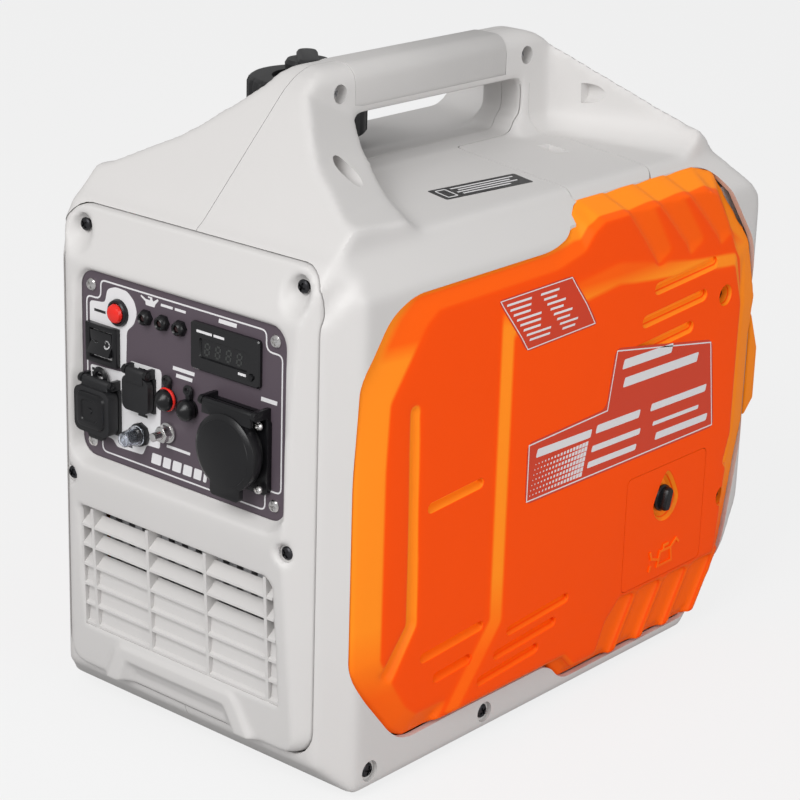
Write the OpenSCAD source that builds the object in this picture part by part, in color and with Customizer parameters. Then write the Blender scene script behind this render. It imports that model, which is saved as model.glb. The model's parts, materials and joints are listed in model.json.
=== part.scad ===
// Suitcase-style portable inverter generator.
// Frame: +X is the oil-door side, -Y is the control panel, +Z is up.
// The origin lies on the ground under the middle of the body.

/* [Body] */
// Width across the two grey half shells
body_w = 274; // [268:1:290]
// Distance from the origin to the front of the half shells
body_front = 240; // [236:1:250]
// Distance from the origin to the rear face
body_rear = 244; // [240:1:256]
// Height of the underside of the shells
base_z = 5; // [4:0.5:8]
// Height of the deck at its outer edge
deck_z = 374; // [370:1:384]
// Rise of the deck at the middle seam
deck_crown = 12; // [8:1:14]
// Wall of the moulded shells and covers
wall = 3; // [2.5:0.1:3.5]
// Radius of the upright corners of the shells
corner_r = 24; // [18:1:28]
// Width of the bevel along the deck's outer edge
deck_bevel_w = 22; // [16:1:26]
// Height of the bevel along the deck's outer edge
deck_bevel_h = 29; // [24:1:34]

/* [Handle] */
// Height of the top of the handle
handle_top = 458.5; // [450:0.5:470]
// Width of the handle bar
handle_w = 39; // [34:1:44]
// Thickness of the handle bar from top to bottom
bar_h = 34; // [30:1:38]
// Front end of the hand gap
gap_front = -112; // [-118:1:-104]
// Rear end of the hand gap
gap_rear = 66; // [58:1:72]
// Length of the rubber grip sleeve
grip_len = 160; // [120:1:166]
// Thickness of the grip sleeve
grip_t = 2.2; // [1.8:0.1:2.8]
// Radius of the hollow that sweeps down from each post
sweep_r = 85; // [78:1:90]
// Turn of that hollow, seen from above
sweep_turn = 7; // [4:1:12]

// Where the front post's foot runs out on the deck
foot_front = -71; // [-78:1:-64]
// Radius of the front post's hollow foot
foot_front_r = 80; // [60:1:84]
// Where the rear post's foot runs out on the deck
foot_rear = 105; // [103:1:112]
// Radius of the rear post's hollow foot
foot_rear_r = 26; // [22:1:36]
// Turn of the hollow's front arc, away from straight across
foot_turn = 30; // [20:1:34]

/* [Front cover] */
// Half width of the front cover
cover_half = 117; // [112:1:119]
// Lower edge of the front cover
cover_z0 = 32; // [28:1:40]
// Upper edge of the front cover
cover_z1 = 365; // [360:1:368]
// Width of the control panel
panel_w = 190; // [180:1:194]
// Height of the control panel
panel_h = 131; // [126:1:134]
// Lower edge of the control panel
panel_z0 = 193; // [188:1:196]
// Thickness of the control panel
panel_t = 2.5; // [2:0.1:3]
// Outer face of the control panel, in front of the origin
panel_y = 243; // [241:0.5:244]
// Number of rows of louvres in the grille
grille_rows = 7; // [4:1:8]
// Pitch of the louvre rows
grille_pitch = 12.4; // [12:0.1:13]
// Height of one louvre slit
grille_slit = 6; // [4:0.5:8]

/* [Side covers] */
// How far the side cover stands out of the shell
cover_out = 2.5; // [2:0.5:4]
// Extra height of the raised field on the side cover
field_out = 3; // [2:0.5:4]
// Width of the bevelled rim at the front of the side cover
rim_front = 26; // [18:1:30]
// Width of the bevelled rim at the top of the side cover
rim_top = 14; // [10:1:18]
// Depth of the seat that the side cover sits in
seat_depth = 6; // [5:0.5:8]
// Lower edge of the oil door
door_z0 = 62; // [58:1:66]
// Height of the oil door
door_h = 89; // [80:1:94]
// Front edge of the oil door
door_y0 = 69; // [66:1:74]
// Length of the oil door
door_l = 94; // [84:1:98]
// Radius of the oil door's latch knob
latch_r = 9; // [7:0.5:11]

/* [Fuel cap] */
// Radius of the fuel cap
cap_r = 42.8; // [38:0.2:44]
// Height of the top of the fuel cap
cap_top = 431; // [426:1:436]
// Distance of the fuel cap from the middle seam
cap_x = 70; // [68:1:74]
// Position of the fuel cap along the body
cap_y = -52; // [-60:1:-44]
// Radius of the tank's filler neck
neck_r = 26; // [22:0.5:28]

/* [Engine] */
// Position of the crankshaft along the body
crank_y = 85; // [80:1:90]
// Height of the crankshaft
crank_z = 140; // [136:1:146]
// Radius of the crankshaft
crank_r = 10; // [8:0.5:12]
// Outer radius of the flywheel rotor
rotor_r = 58; // [54:1:62]
// Outer radius of the stator
stator_r = 46; // [40:1:48]
// Number of fan blades
fan_blades = 12; // [6:1:16]
// Number of cylinder cooling fins
fin_count = 7; // [4:1:8]
// Width of the cooling fins
fin_w = 92; // [80:1:96]
// Radius of the recoil starter's pulley
pulley_r = 46; // [40:1:48]
// Length of starter rope that slides out with the grip
rope_len = 96; // [80:1:100]
// Diameter of the starter rope
rope_d = 4; // [3:0.5:5]

/* [Feet and fasteners] */
// Radius of the rubber feet
foot_r = 15; // [12:1:18]
// Height of the rubber feet
foot_h = 8; // [7:0.5:10]
// Radius of a screw shank
screw_r = 2; // [1.6:0.1:2.4]
// Radius of a screw head
head_r = 4.4; // [4:0.1:5]
// Radius of the pocket round a deep screw
pocket_r = 6.5; // [6:0.1:7]

/* [Clearances] */
// Gap between pieces that are seated on each other
fit = 0.3; // [0.2:0.05:0.4]
// Radial clearance of a pin or shaft that turns
run = 0.05; // [0.03:0.01:0.08]

/* [Hidden] */
$fn = 48;
half_w = body_w / 2;
wide = body_w + 60;
tall = handle_top + 40;
deck_mid = deck_z + deck_crown;
bevel_z = deck_z - deck_bevel_h;
bevel_x = half_w - deck_bevel_w;
gap_z0 = deck_mid - 1;
gap_z1 = handle_top - bar_h;
post_front = -body_front + 14;
post_rear = 172;
mid_y = -16;
screw_z = handle_top - 17.5;
tray_z = foot_h + fit;
tray_t = 4;
tray_top = tray_z + tray_t;
panel_back = -panel_y + panel_t;
cover_face = half_w + cover_out;
field_face = cover_face + field_out;
// where the side cover reaches up to the deck
shelf_x = bevel_x + 6.5;
shelf_y = 2;
seat_x = half_w - seat_depth;
neck_top = cap_top - 36;

// ---------- plain helpers ----------

// An outline in Y and Z, extruded along X
module across(x0, x1) {
    translate([x0, 0, 0])
        rotate([90, 0, 90])
            linear_extrude(x1 - x0)
                children();
}

// An outline in X and Z, extruded along Y
module along(y0, y1) {
    translate([0, y1, 0])
        rotate([90, 0, 0])
            linear_extrude(y1 - y0)
                children();
}

// A block between two corners
module block(lo, hi) {
    translate(lo)
        cube(hi - lo);
}

// A rod along X at [y, z]
module rod_x(r, x0, x1, at) {
    translate([x0, at[0], at[1]])
        rotate([0, 90, 0])
            cylinder(r = r, h = x1 - x0);
}

// A rod along Y at [x, z]
module rod_y(r, y0, y1, at) {
    translate([at[0], y0, at[1]])
        rotate([-90, 0, 0])
            cylinder(r = r, h = y1 - y0);
}

// A rod along Z at [x, y]
module rod_z(r, z0, z1, at) {
    translate([at[0], at[1], z0])
        cylinder(r = r, h = z1 - z0);
}

module both_sides() {
    children();
    mirror([1, 0, 0])
        children();
}

function arc(c, r, a0, a1, n) =
    [for (i = [0 : n]) c + r * [cos(a0 + (a1 - a0) * i / n), sin(a0 + (a1 - a0) * i / n)]];

// A rectangle with round corners, as points
function round_rect(lo, hi, r, n = 5) = concat(
    arc([hi[0] - r, lo[1] + r], r, -90, 0, n),
    arc([hi[0] - r, hi[1] - r], r, 0, 90, n),
    arc([lo[0] + r, hi[1] - r], r, 90, 180, n),
    arc([lo[0] + r, lo[1] + r], r, 180, 270, n));

// Points moved towards a centre by i along both axes
function inset(pts, i, c) =
    [for (p = pts) [p[0] - sign(p[0] - c[0]) * i, p[1] - sign(p[1] - c[1]) * i]];

// ---------- the outer form of the body ----------

body_mid_z = 190;

// Outline of the body from the side, as [y, z]
function side_points() = [
    [-body_front + 22, base_z],
    [-body_front, base_z + 22],
    [-body_front, deck_z - 46],
    [-body_front + 48, deck_mid],
    [body_rear - 73, deck_mid],
    [body_rear - 22, deck_z - 36],
    [body_rear - 4, deck_z - 72],
    [body_rear, deck_z - 112],
    [body_rear, 170],
    [body_rear - 6, 122],
    [body_rear - 34, base_z + 53],
    [body_rear - 86, base_z]
];

// Outline of the body from the front, as [x, z]
function front_points(i) = [
    [0, deck_mid - i],
    [bevel_x - i / 2, deck_z - i],
    [half_w - i, bevel_z - i / 2],
    [half_w - i, 0],
    [-half_w + i, 0],
    [-half_w + i, bevel_z - i / 2],
    [-bevel_x + i / 2, deck_z - i]
];

// The shoulder behind the front cover's top edge, drawn i inside its skin
module shoulder_form(i) {
    intersection() {
        across(-cover_half - 4 + i, cover_half + 4 - i)
            polygon(inset([
                [-body_front + 6, deck_z - 74], [-body_front + 6, cover_z1 - 3],
                [-body_front + 10, cover_z1 + 2], [-body_front + 47, deck_mid],
                [-body_front + 90, deck_mid], [-body_front + 90, deck_z - 74]
            ], i, [-body_front + 60, deck_z - 40]));
        along(-body_front - 1, body_rear + 1)
            polygon(front_points(i));
        linear_extrude(tall)
            polygon([
                [-cover_half - 4 + i, -body_front + 26], [-cover_half + 8, -body_front + 5 + i],
                [cover_half - 8, -body_front + 5 + i], [cover_half + 4 - i, -body_front + 26],
                [cover_half + 4 - i, 0], [-cover_half - 4 + i, 0]
            ]);
    }
}

// The body below the handle, drawn i inside its outer skin
module body_form(i) {
    intersection() {
        across(-half_w + i, half_w - i)
            polygon(inset(side_points(), i, [0, body_mid_z]));
        along(-body_front - 1, body_rear + 1)
            polygon(front_points(i));
        linear_extrude(tall)
            polygon(round_rect(
                [-half_w + i, -body_front + i],
                [half_w - i, body_rear - i],
                corner_r - i));
    }
    shoulder_form(i);
}

// Outline of the handle and its posts from the side, as [y, z]
function handle_points() = [
    [-body_front, deck_z - 34],
    [-body_front, deck_z - 22],
    [gap_front - 38, handle_top - 13],
    [gap_front - 27, handle_top - 5],
    [gap_front - 14, handle_top],
    [gap_rear + 19, handle_top],
    [gap_rear + 34, handle_top - 4],
    [gap_rear + 46, handle_top - 13],
    [post_rear, deck_mid],
    [post_rear + 12, deck_z],
    [post_rear + 12, deck_z - 34]
];

// The hollow sweep beside one post
module sweep_cut(i, front) {
    y_dir = front ? 1 : -1;
    start_y = front ? post_front + 21 : post_rear + 1;
    reach = (mid_y - start_y) * y_dir / cos(sweep_turn);
    translate([bevel_x + 7, start_y, deck_mid - 6 + sweep_r])
        rotate([0, 0, sweep_turn * y_dir])
            rotate([-90 * y_dir, 0, 0])
                translate([0, 0, -90])
                    cylinder(r = sweep_r + i, h = reach + 90, $fn = 96);
}

// The hand gap, grown by i
module gap_form(i) {
    across(-wide, wide)
        polygon(concat(
            arc([gap_front + 18 - i, gap_z0 + 16 - i], 16, 180, 270, 5),
            arc([gap_rear - 2 + i, gap_z0 + 16 - i], 16, 270, 360, 5),
            arc([gap_rear + 6 + i, gap_z1 - 8 + i], 8, 0, 90, 4),
            arc([gap_front + 8 - i, gap_z1 - 8 + i], 8, 90, 180, 4)));
}

// What is hollowed out between the posts, beside the bar, grown by i
module between_posts(i) {
    front_z = deck_mid - 1 - i + foot_front_r;
    rear_z = deck_mid - 1 - i + foot_rear_r;
    both_sides()
        translate([0, 0, deck_mid])
            rotate([0, atan(deck_crown / bevel_x), 0])
                translate([0, 0, -deck_mid]) {
                    // arc against the front post, turned outwards
                    translate([0, foot_front, 0])
                        rotate([0, 0, -foot_turn])
                            across(-20, wide) {
                                translate([0, front_z])
                                    circle(r = foot_front_r, $fn = 96);
                                translate([-foot_front_r, front_z])
                                    square([foot_front_r + 80, tall]);
                                translate([0, deck_mid - 1 - i])
                                    square([80, tall]);
                            }
                    // arc against the rear post
                    across(-20, wide) {
                        translate([foot_rear, rear_z])
                            circle(r = foot_rear_r, $fn = 96);
                        translate([foot_rear - 10, rear_z])
                            square([foot_rear_r + 10, tall]);
                        translate([mid_y - 60, deck_mid - 1 - i])
                            square([foot_rear - mid_y + 60, tall]);
                    }
                }
}

// The two posts and the bar, drawn i inside their skin
module handle_form(i) {
    difference() {
        across(-bevel_x + 3 + i, bevel_x - 3 - i)
            polygon(inset(handle_points(), i, [mid_y, 0]));
        both_sides()
            sweep_cut(i, true);
        both_sides()
            sweep_cut(i, false);
        between_posts(i);
    }
    // bar and the cores of both posts
    difference() {
        intersection() {
            across(-handle_w / 2 + i, handle_w / 2 - i)
                polygon(inset(handle_points(), i, [mid_y, 0]));
            along(-wide - 100, wide + 100)
                polygon(round_rect(
                    [-handle_w / 2 + i, 0],
                    [handle_w / 2 - i, handle_top - i],
                    14 - i));
        }
        gap_form(i);
    }
}

module outer_form(i) {
    body_form(i);
    handle_form(i);
}

// ---------- openings and seats in the body ----------

// Outline of the side cover, as [y, z]
cover_points = concat(
    [[-body_front + 18, 92], [-body_front + 18, 226], [-body_front + 21, 294]],
    [[-body_front + 46, 330], [-body_front + 68, bevel_z - 5]],
    [[-31, bevel_z - 4], [-6, bevel_z + 3], [2, deck_z - 14], [14, deck_z - 8]],
    [[body_rear - 93, deck_z - 8], [body_rear - 72, deck_z - 14]],
    [[body_rear - 26, 301], [body_rear - 14, 255], [body_rear - 18, 224]],
    [[body_rear - 18, 158], [body_rear - 26, 127], [body_rear - 38, 66]],
    [[body_rear - 46, 37], [body_rear - 82, base_z + 8], [4, base_z + 8]],
    [[-12, base_z + 25], [-121, base_z + 25], [-168, base_z + 24]],
    [[-body_front + 58, 37], [-body_front + 26, 76]]);
cover_mid = [0, body_mid_z];

// Outline of the side cover, grown by d
function cover_outline(d) =
    [for (p = cover_points) [
        cover_mid[0] + (p[0] - cover_mid[0]) * (1 + d / body_front),
        cover_mid[1] + (p[1] - cover_mid[1]) * (1 + d / body_mid_z)]];

// Where the hatch over the spark plug lies, grown by d
module hatch_area(d) {
    block([17 - d, 10 - d, bevel_z], [shelf_x - fit + d, 102 + d, tall]);
}

// The outline of the front cover, grown by d
module front_area(d) {
    polygon(round_rect([-cover_half - d, cover_z0 - d], [cover_half + d, cover_z1 + d], 20, 6));
}

// The outline of the rear cover, grown by d
module rear_area(d) {
    polygon(round_rect([-108 - d, 66 - d], [108 + d, 300 + d], 14, 4));
}

// Screw places in the handle and the posts, as [y, z, pocket radius]
shell_screw_at = [
    [gap_front - 4, screw_z, pocket_r],
    [gap_rear + 17, screw_z, pocket_r],
    [gap_front - 57, handle_top - 50.5, pocket_r + 2.5],
    [gap_rear + 71, handle_top - 50.5, pocket_r + 2.5]
];
screw_seat_x = 11;

// Screws that hold the front cover, as [x, z]
front_screw_at = [[99.5, 351], [101, 177]];
front_boss_y = -body_front + 8;

// Screws that hold the side covers, as [y, z]
side_screw_at = [[177, 268], [193, 104]];
// Bolts through the bottom rail, as [y, z]
rail_bolt_at = [[-203.5, 18], [-83.3, 18]];

// Inner edge of the seats that carry a cover from behind
seat_step = 6;

// What both half shells have in common, on the +X side
module half_shell() {
    difference() {
        union() {
            difference() {
                outer_form(0);
                outer_form(wall);
            }
            // ledge behind the side cover
            intersection() {
                across(seat_x - wall, half_w)
                    difference() {
                        polygon(cover_outline(wall + fit));
                        polygon(cover_outline(-12));
                    }
                body_form(0);
            }
            // arms that carry the side cover's screws
            intersection() {
                union() {
                    for (s = side_screw_at)
                        block([seat_x - wall, s[0] - 8, s[1] - 8], [seat_x, body_rear - 18, s[1] + 8]);
                }
                body_form(0);
            }
            // lugs that carry the front cover's screws
            intersection() {
                union() {
                    for (s = front_screw_at)
                        block([s[0] - 9, front_boss_y, s[1] - 9], [half_w, front_boss_y + 8, s[1] + 9]);
                }
                body_form(1);
            }
            // ledge behind the rear cover
            intersection() {
                difference() {
                    body_form(wall);
                    body_form(wall + 2.5);
                }
                along(100, tall)
                    difference() {
                        rear_area(seat_step);
                        rear_area(-seat_step);
                    }
            }
            // sleeves round the long screws
            for (s = shell_screw_at)
                intersection() {
                    rod_x(s[2] + 2, 0, bevel_x, [s[0], s[1]]);
                    handle_form(0);
                }
        }
        // the other half
        block([-wide, -wide, -1], [fit / 2, wide, tall]);
        // front opening
        along(-body_front - 20, front_boss_y)
            front_area(fit);
        // rear opening
        intersection() {
            difference() {
                body_form(-1);
                body_form(wall);
            }
            along(100, tall)
                rear_area(fit);
        }
        // bottom opening
        block([-108, -body_front + 40, -1], [108, body_rear - 104, base_z + wall + 1]);
        // seat of the side cover
        across(seat_x, wide)
            polygon(cover_outline(fit));
        across(shelf_x - fit, wide)
            intersection() {
                polygon(cover_outline(fit));
                translate([shelf_y - fit, bevel_z - 13 - fit])
                    square([body_rear, 60]);
            }
        // holes for the long screws
        for (s = shell_screw_at) {
            rod_x(s[2], screw_seat_x, wide, [s[0], s[1]]);
            rod_x(screw_r + fit, -1, screw_seat_x + 1, [s[0], s[1]]);
        }
        for (s = front_screw_at)
            rod_y(screw_r + fit, front_boss_y - 1, front_boss_y + 9, s);
        for (s = side_screw_at)
            rod_x(screw_r + fit, seat_x - wall - 1, seat_x + 1, s);
        for (s = rail_bolt_at)
            rod_x(screw_r + 0.5 + fit, seat_x - wall - 1, wide, s);
        // recess that the grip sleeve fills
        sleeve_form(fit);
    }
}

// The rubber sleeve round the handle bar, grown by d
module sleeve_form(d) {
    difference() {
        along(mid_y - 5 - grip_len / 2 - d, mid_y - 5 + grip_len / 2 + d)
            polygon(round_rect(
                [-handle_w / 2 - d, gap_z1 - d],
                [handle_w / 2 + d, handle_top + d],
                14));
        along(-wide, wide)
            polygon(round_rect(
                [-handle_w / 2 + grip_t + d, gap_z1 + grip_t + d],
                [handle_w / 2 - grip_t - d, handle_top - grip_t - d],
                14 - grip_t));
    }
}

module right_shell() {
    color("gainsboro")
        difference() {
            union() {
                half_shell();
                // ledge under the spark plug hatch
                intersection() {
                    difference() {
                        body_form(wall);
                        body_form(wall + 2.5);
                    }
                    difference() {
                        hatch_area(5);
                        hatch_area(-5);
                    }
                    block([fit / 2, -wide, 0], [bevel_x, wide, tall]);
                }
            }
            intersection() {
                difference() {
                    body_form(-1);
                    body_form(wall);
                }
                hatch_area(fit);
            }
        }
}

// Columns that the fuel tank hangs from, as [x, y]
tank_column_at = [[34, -170], [104, -170], [34, 0], [104, 0]];
tank_top = deck_z - 28;

module left_shell() {
    color("gainsboro")
        mirror([1, 0, 0])
            difference() {
                union() {
                    half_shell();
                    intersection() {
                        union() {
                            for (c = tank_column_at)
                                rod_z(6, tank_top + fit, tall, c);
                        }
                        outer_form(1);
                    }
                }
                rod_z(neck_r + 3, deck_z - 20, tall, [cap_x, cap_y]);
            }
}

module spark_plug_lid() {
    color("gainsboro")
        difference() {
            intersection() {
                difference() {
                    body_form(0);
                    body_form(wall - 0.1);
                }
                hatch_area(0);
            }
            // finger notch
            block([50, 68, deck_z - 4], [84, 84, tall]);
        }
    color("gainsboro")
        intersection() {
            difference() {
                body_form(1.5);
                body_form(wall - 0.1);
            }
            block([49, 67, bevel_z], [85, 85, tall]);
        }
}

module handle_grip() {
    color("silver")
        sleeve_form(0);
}

module shell_screws() {
    color("dimgray")
        for (s = shell_screw_at) {
            rod_x(head_r, screw_seat_x + fit, screw_seat_x + 4, [s[0], s[1]]);
            rod_x(screw_r, -9, screw_seat_x + 1, [s[0], s[1]]);
        }
}

// ---------- front cover and control panel ----------

// Outer face of the front cover from the side, as [y, z]
module cover_side(i) {
    polygon([
        [-body_front - 6 + i, cover_z0 - 10],
        [-body_front - 13 + i, 178],
        [-body_front - 12 + i, 205],
        [-body_front - 7 + i, 328],
        [post_front - 8 + i, cover_z1 + 4 - i],
        [post_front + 12, cover_z1 + 4 - i],
        [post_front + 12, cover_z0 - 10]
    ]);
}

module cover_form(i) {
    intersection() {
        along(-body_front - 20, front_boss_y - fit + (i > 0 ? 9 : 0))
            front_area(-i);
        across(-cover_half - 1, cover_half + 1)
            cover_side(i);
        linear_extrude(tall)
            polygon([
                [-cover_half + i, 0], [-cover_half + i, -body_front - 2 + i],
                [-cover_half + 12 + i / 2, -body_front - 14 + i],
                [cover_half - 12 - i / 2, -body_front - 14 + i],
                [cover_half - i, -body_front - 2 + i], [cover_half - i, 0]]);
    }
}

// Outline of the control panel, grown by d
module panel_area(d) {
    polygon(round_rect(
        [-panel_w / 2 - d, panel_z0 - d],
        [panel_w / 2 + d, panel_z0 + panel_h + d],
        12));
}

panel_screw_at = [
    [-panel_w / 2 + 10, panel_z0 + 10], [panel_w / 2 - 10, panel_z0 + 10],
    [-panel_w / 2 + 10, panel_z0 + panel_h - 10], [panel_w / 2 - 10, panel_z0 + panel_h - 10]
];

// Edges of the louvre columns, as [from, to]
grille_columns = [[-95, -37], [-33, 28], [32, 80], [84, 93]];
grille_z0 = 67;

module front_cover() {
    color("gainsboro")
        difference() {
            union() {
                difference() {
                    cover_form(0);
                    cover_form(wall);
                }
                intersection() {
                    union() {
                        // walls round the control panel
                        along(-body_front - 20, panel_back + 3)
                            difference() {
                                panel_area(2.5);
                                panel_area(-8);
                            }
                        // corner pads for the panel screws
                        for (s = panel_screw_at)
                            rod_y(7, -body_front - 20, panel_back + 3, s);
                        // towers for the cover's screws
                        both_sides()
                            for (s = front_screw_at)
                                rod_y(pocket_r + 2.5, -body_front - 20, front_boss_y - fit, s);
                        // pad behind the bottom scoop
                        along(-body_front - 20, -body_front + 4)
                            polygon([[-56, 52], [-66, 33], [74, 33], [56, 52]]);
                    }
                    cover_form(0);
                }
            }
            // pocket for the control panel
            along(-body_front - 20, panel_back + fit)
                panel_area(fit);
            // clear field behind the panel
            difference() {
                along(-body_front - 20, front_boss_y)
                    panel_area(-8);
                for (s = panel_screw_at)
                    rod_y(7, -body_front - 20, panel_back + 3, s);
            }
            for (s = panel_screw_at)
                rod_y(screw_r + fit, -body_front - 20, front_boss_y, s);
            both_sides()
                for (s = front_screw_at) {
                    rod_y(pocket_r, -body_front - 20, front_boss_y - 3, s);
                    rod_y(screw_r + fit, -body_front - 20, front_boss_y, s);
                }
            // louvres
            for (row = [0 : grille_rows - 1])
                for (c = grille_columns)
                    block(
                        [c[0], -body_front - 20, grille_z0 + row * grille_pitch],
                        [c[1], front_boss_y, grille_z0 + row * grille_pitch + grille_slit]);
            // scoop at the bottom
            along(-body_front - 20, -body_front - 3)
                polygon([[-51, 47], [-60, 20], [68, 20], [51, 47]]);
        }
}

module front_cover_screws() {
    color("dimgray")
        both_sides()
            for (s = front_screw_at) {
                rod_y(head_r, front_boss_y - 6.5, front_boss_y - 3 - fit, s);
                rod_y(screw_r, front_boss_y - 4, front_boss_y + 12, s);
            }
}

module panel_screws() {
    color("silver")
        for (s = panel_screw_at) {
            rod_y(head_r - 0.6, -panel_y - 2.4, -panel_y - fit, s);
            rod_y(screw_r - 0.2, -panel_y - 1, panel_back + 4, s);
        }
}

// Places on the panel, as [x, z]
reset_at = [-59, 300];
rocker_at = [22 - panel_w / 2, 275];
lamp_at = [[-32, 303], [-16, 303], [0, 303]];
meter_at = [42, 295.5];
mode_at = [66, 286];
usb_at = [21 - panel_w / 2, 230];
dc_at = [-36, 250];
breaker_at = [-38, 220];
parallel_at = [[-11, 252], [9, 250]];
ground_at = [-12, 228];
ac_at = [56, 236];
reset_r = 6;
rocker_size = [30, 27];
lamp_r = 4.2;
meter_size = [62, 32];
usb_size = [34, 32];
dc_size = [25, 24];
breaker_r = 8;
parallel_r = 6;
ground_r = 3;
ac_r = 22;
ac_plate = 52;

module control_panel() {
    color("dimgray")
        difference() {
            along(-panel_y, panel_back)
                panel_area(0);
            for (s = panel_screw_at)
                rod_y(screw_r, -panel_y - 1, panel_back + 1, s);
            rod_y(reset_r - 1.5 + run, -panel_y - 1, panel_back + 1, reset_at);
            along(-panel_y - 1, panel_back + 1) {
                translate(rocker_at)
                    square(rocker_size - [4, 4], center = true);
                translate(meter_at)
                    square(meter_size - [6, 6], center = true);
                translate(usb_at)
                    square(usb_size - [8, 8], center = true);
                translate(dc_at)
                    square(dc_size - [6, 6], center = true);
            }
            for (s = lamp_at)
                rod_y(lamp_r + fit, -panel_y - 1, panel_back + 1, s);
            rod_y(breaker_r - 1, -panel_y - 1, panel_back + 1, breaker_at);
            for (s = parallel_at)
                rod_y(parallel_r - 1 + fit, -panel_y - 1, panel_back + 1, s);
            rod_y(ground_r + fit, -panel_y - 1, panel_back + 1, ground_at);
            rod_y(ac_r + fit, -panel_y - 1, panel_back + 1, ac_at);
        }
}

// The button slides in a collar that is part of its own holder ring on the panel
module reset_button() {
    color("red") {
        rod_y(reset_r - 1.5, -panel_y - 7, panel_back + 8, reset_at);
    }
}

module engine_switch_bezel() {
    color("black")
        difference() {
            union() {
                along(-panel_y - 4, -panel_y - fit)
                    translate(rocker_at)
                        square(rocker_size, center = true);
                along(-panel_y - 1, panel_back + 18)
                    translate(rocker_at)
                        square(rocker_size - [4.6, 4.6], center = true);
            }
            along(-panel_y - 5, panel_back + 14)
                translate(rocker_at)
                    square(rocker_size - [8, 6.4], center = true);
            rod_x(1.5 + run, rocker_at[0] - 27, rocker_at[0] + 27, [-panel_y + 2, rocker_at[1]]);
        }
}

// Rocker that tips about a pin along X
rocker_tilt = 11;
module engine_switch_rocker() {
    color("black") {
        rod_x(1.5, rocker_at[0] - rocker_size[0] / 2 + 2.6, rocker_at[0] + rocker_size[0] / 2 - 2.6,
            [-panel_y + 2, rocker_at[1]]);
        difference() {
            across(rocker_at[0] - rocker_size[0] / 2 + 4.6, rocker_at[0] + rocker_size[0] / 2 - 4.6)
                translate([-panel_y + 2, rocker_at[1]])
                    rotate(-rocker_tilt)
                        polygon([[3, -6], [3, 6], [-5, 8], [-8, 8], [-5.6, 0], [-8, -8], [-5, -8]]);
        }
    }
}

module indicator_lamps() {
    color("darkred")
        for (s = lamp_at) {
            rod_y(lamp_r, -panel_y - 2.6, panel_back + 6, s);
            rod_y(lamp_r + 1.4, -panel_y - 1.6, -panel_y - fit, s);
        }
}

module meter_display() {
    color("black")
        difference() {
            union() {
                along(-panel_y - 3, -panel_y - fit)
                    translate(meter_at)
                        polygon(round_rect(-meter_size / 2, meter_size / 2, 3));
                along(-panel_y - 1, panel_back + 12)
                    translate(meter_at)
                        square(meter_size - [6.6, 6.6], center = true);
            }
            along(-panel_y - 4, -panel_y - 1.6)
                translate(meter_at + [-1, 1])
                    square([40, 15], center = true);
            rod_y(2.2 + run, -panel_y - 4, -panel_y + 4, mode_at);
        }
}

module meter_mode_button() {
    color("gray")
        rod_y(2.2, -panel_y - 4.4, -panel_y + 2, mode_at);
}

// ---------- sockets with hinged lids ----------

ear_r = 3.2;
pin_r = 1.4;

// Height of a lid's hinge above the ground
function hinge_z(at, size) = at[1] + size[1] / 2 + ear_r + fit;

// Two ears that carry a lid's hinge pin
module hinge_ears(at, size, back_y) {
    for (side = [-1, 1])
        difference() {
            union() {
                rod_x(ear_r, at[0] + side * (size[0] / 2 - 2.5) - 1.5, at[0] + side * (size[0] / 2 - 2.5) + 1.5,
                    [back_y - ear_r, hinge_z(at, size)]);
                translate([at[0] + side * (size[0] / 2 - 2.5) - 1.5, back_y - ear_r, hinge_z(at, size) - ear_r])
                    cube([3, -panel_y - fit - back_y + ear_r, 2 * ear_r]);
            }
            rod_x(pin_r + run, at[0] - size[0], at[0] + size[0], [back_y - ear_r, hinge_z(at, size)]);
        }
}

// Knuckle and pin of a lid, down to the lid's top edge
module lid_knuckle(at, size, back_y) {
    grip_x = size[0] / 2 - 4 - fit;
    rod_x(pin_r, at[0] - size[0] / 2 + 1, at[0] + size[0] / 2 - 1, [back_y - ear_r, hinge_z(at, size)]);
    rod_x(ear_r - 0.4, at[0] - grip_x, at[0] + grip_x, [back_y - ear_r, hinge_z(at, size)]);
    block(
        [at[0] - grip_x, back_y - 2 * ear_r + 0.4, at[1] + size[1] / 2 - 4],
        [at[0] + grip_x, back_y - ear_r, hinge_z(at, size)]);
}

usb_back = -panel_y - 3 - 2 * fit;
dc_back = -panel_y - 2.5 - 2 * fit;
ac_back = -panel_y - 9 - 2 * fit;

module usb_socket() {
    color("black") {
        difference() {
            union() {
                along(-panel_y - 3, -panel_y - fit)
                    translate(usb_at)
                        square(usb_size, center = true);
                along(-panel_y - 1, panel_back + 16)
                    translate(usb_at)
                        square(usb_size - [8.6, 8.6], center = true);
            }
            // two charging ports
            for (side = [-1, 1])
                along(-panel_y - 4, panel_back + 10)
                    translate(usb_at + [0, side * 5])
                        square([13, 5.6], center = true);
        }
        hinge_ears(usb_at, usb_size, usb_back);
        along(-panel_y - 3, -panel_y - fit)
            translate([usb_at[0], hinge_z(usb_at, usb_size) - ear_r - 2])
                square([usb_size[0] - 2, 9], center = true);
    }
}

module usb_flap() {
    color("black") {
        along(usb_back - 9, usb_back)
            translate(usb_at)
                polygon(round_rect(-usb_size / 2, usb_size / 2, 6));
        lid_knuckle(usb_at, usb_size, usb_back);
        // pull tab under the flap
        along(usb_back - 5, usb_back - 2)
            translate(usb_at - [0, usb_size[1] / 2])
                polygon(round_rect([-8, -5], [8, 4], 3));
    }
}

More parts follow.
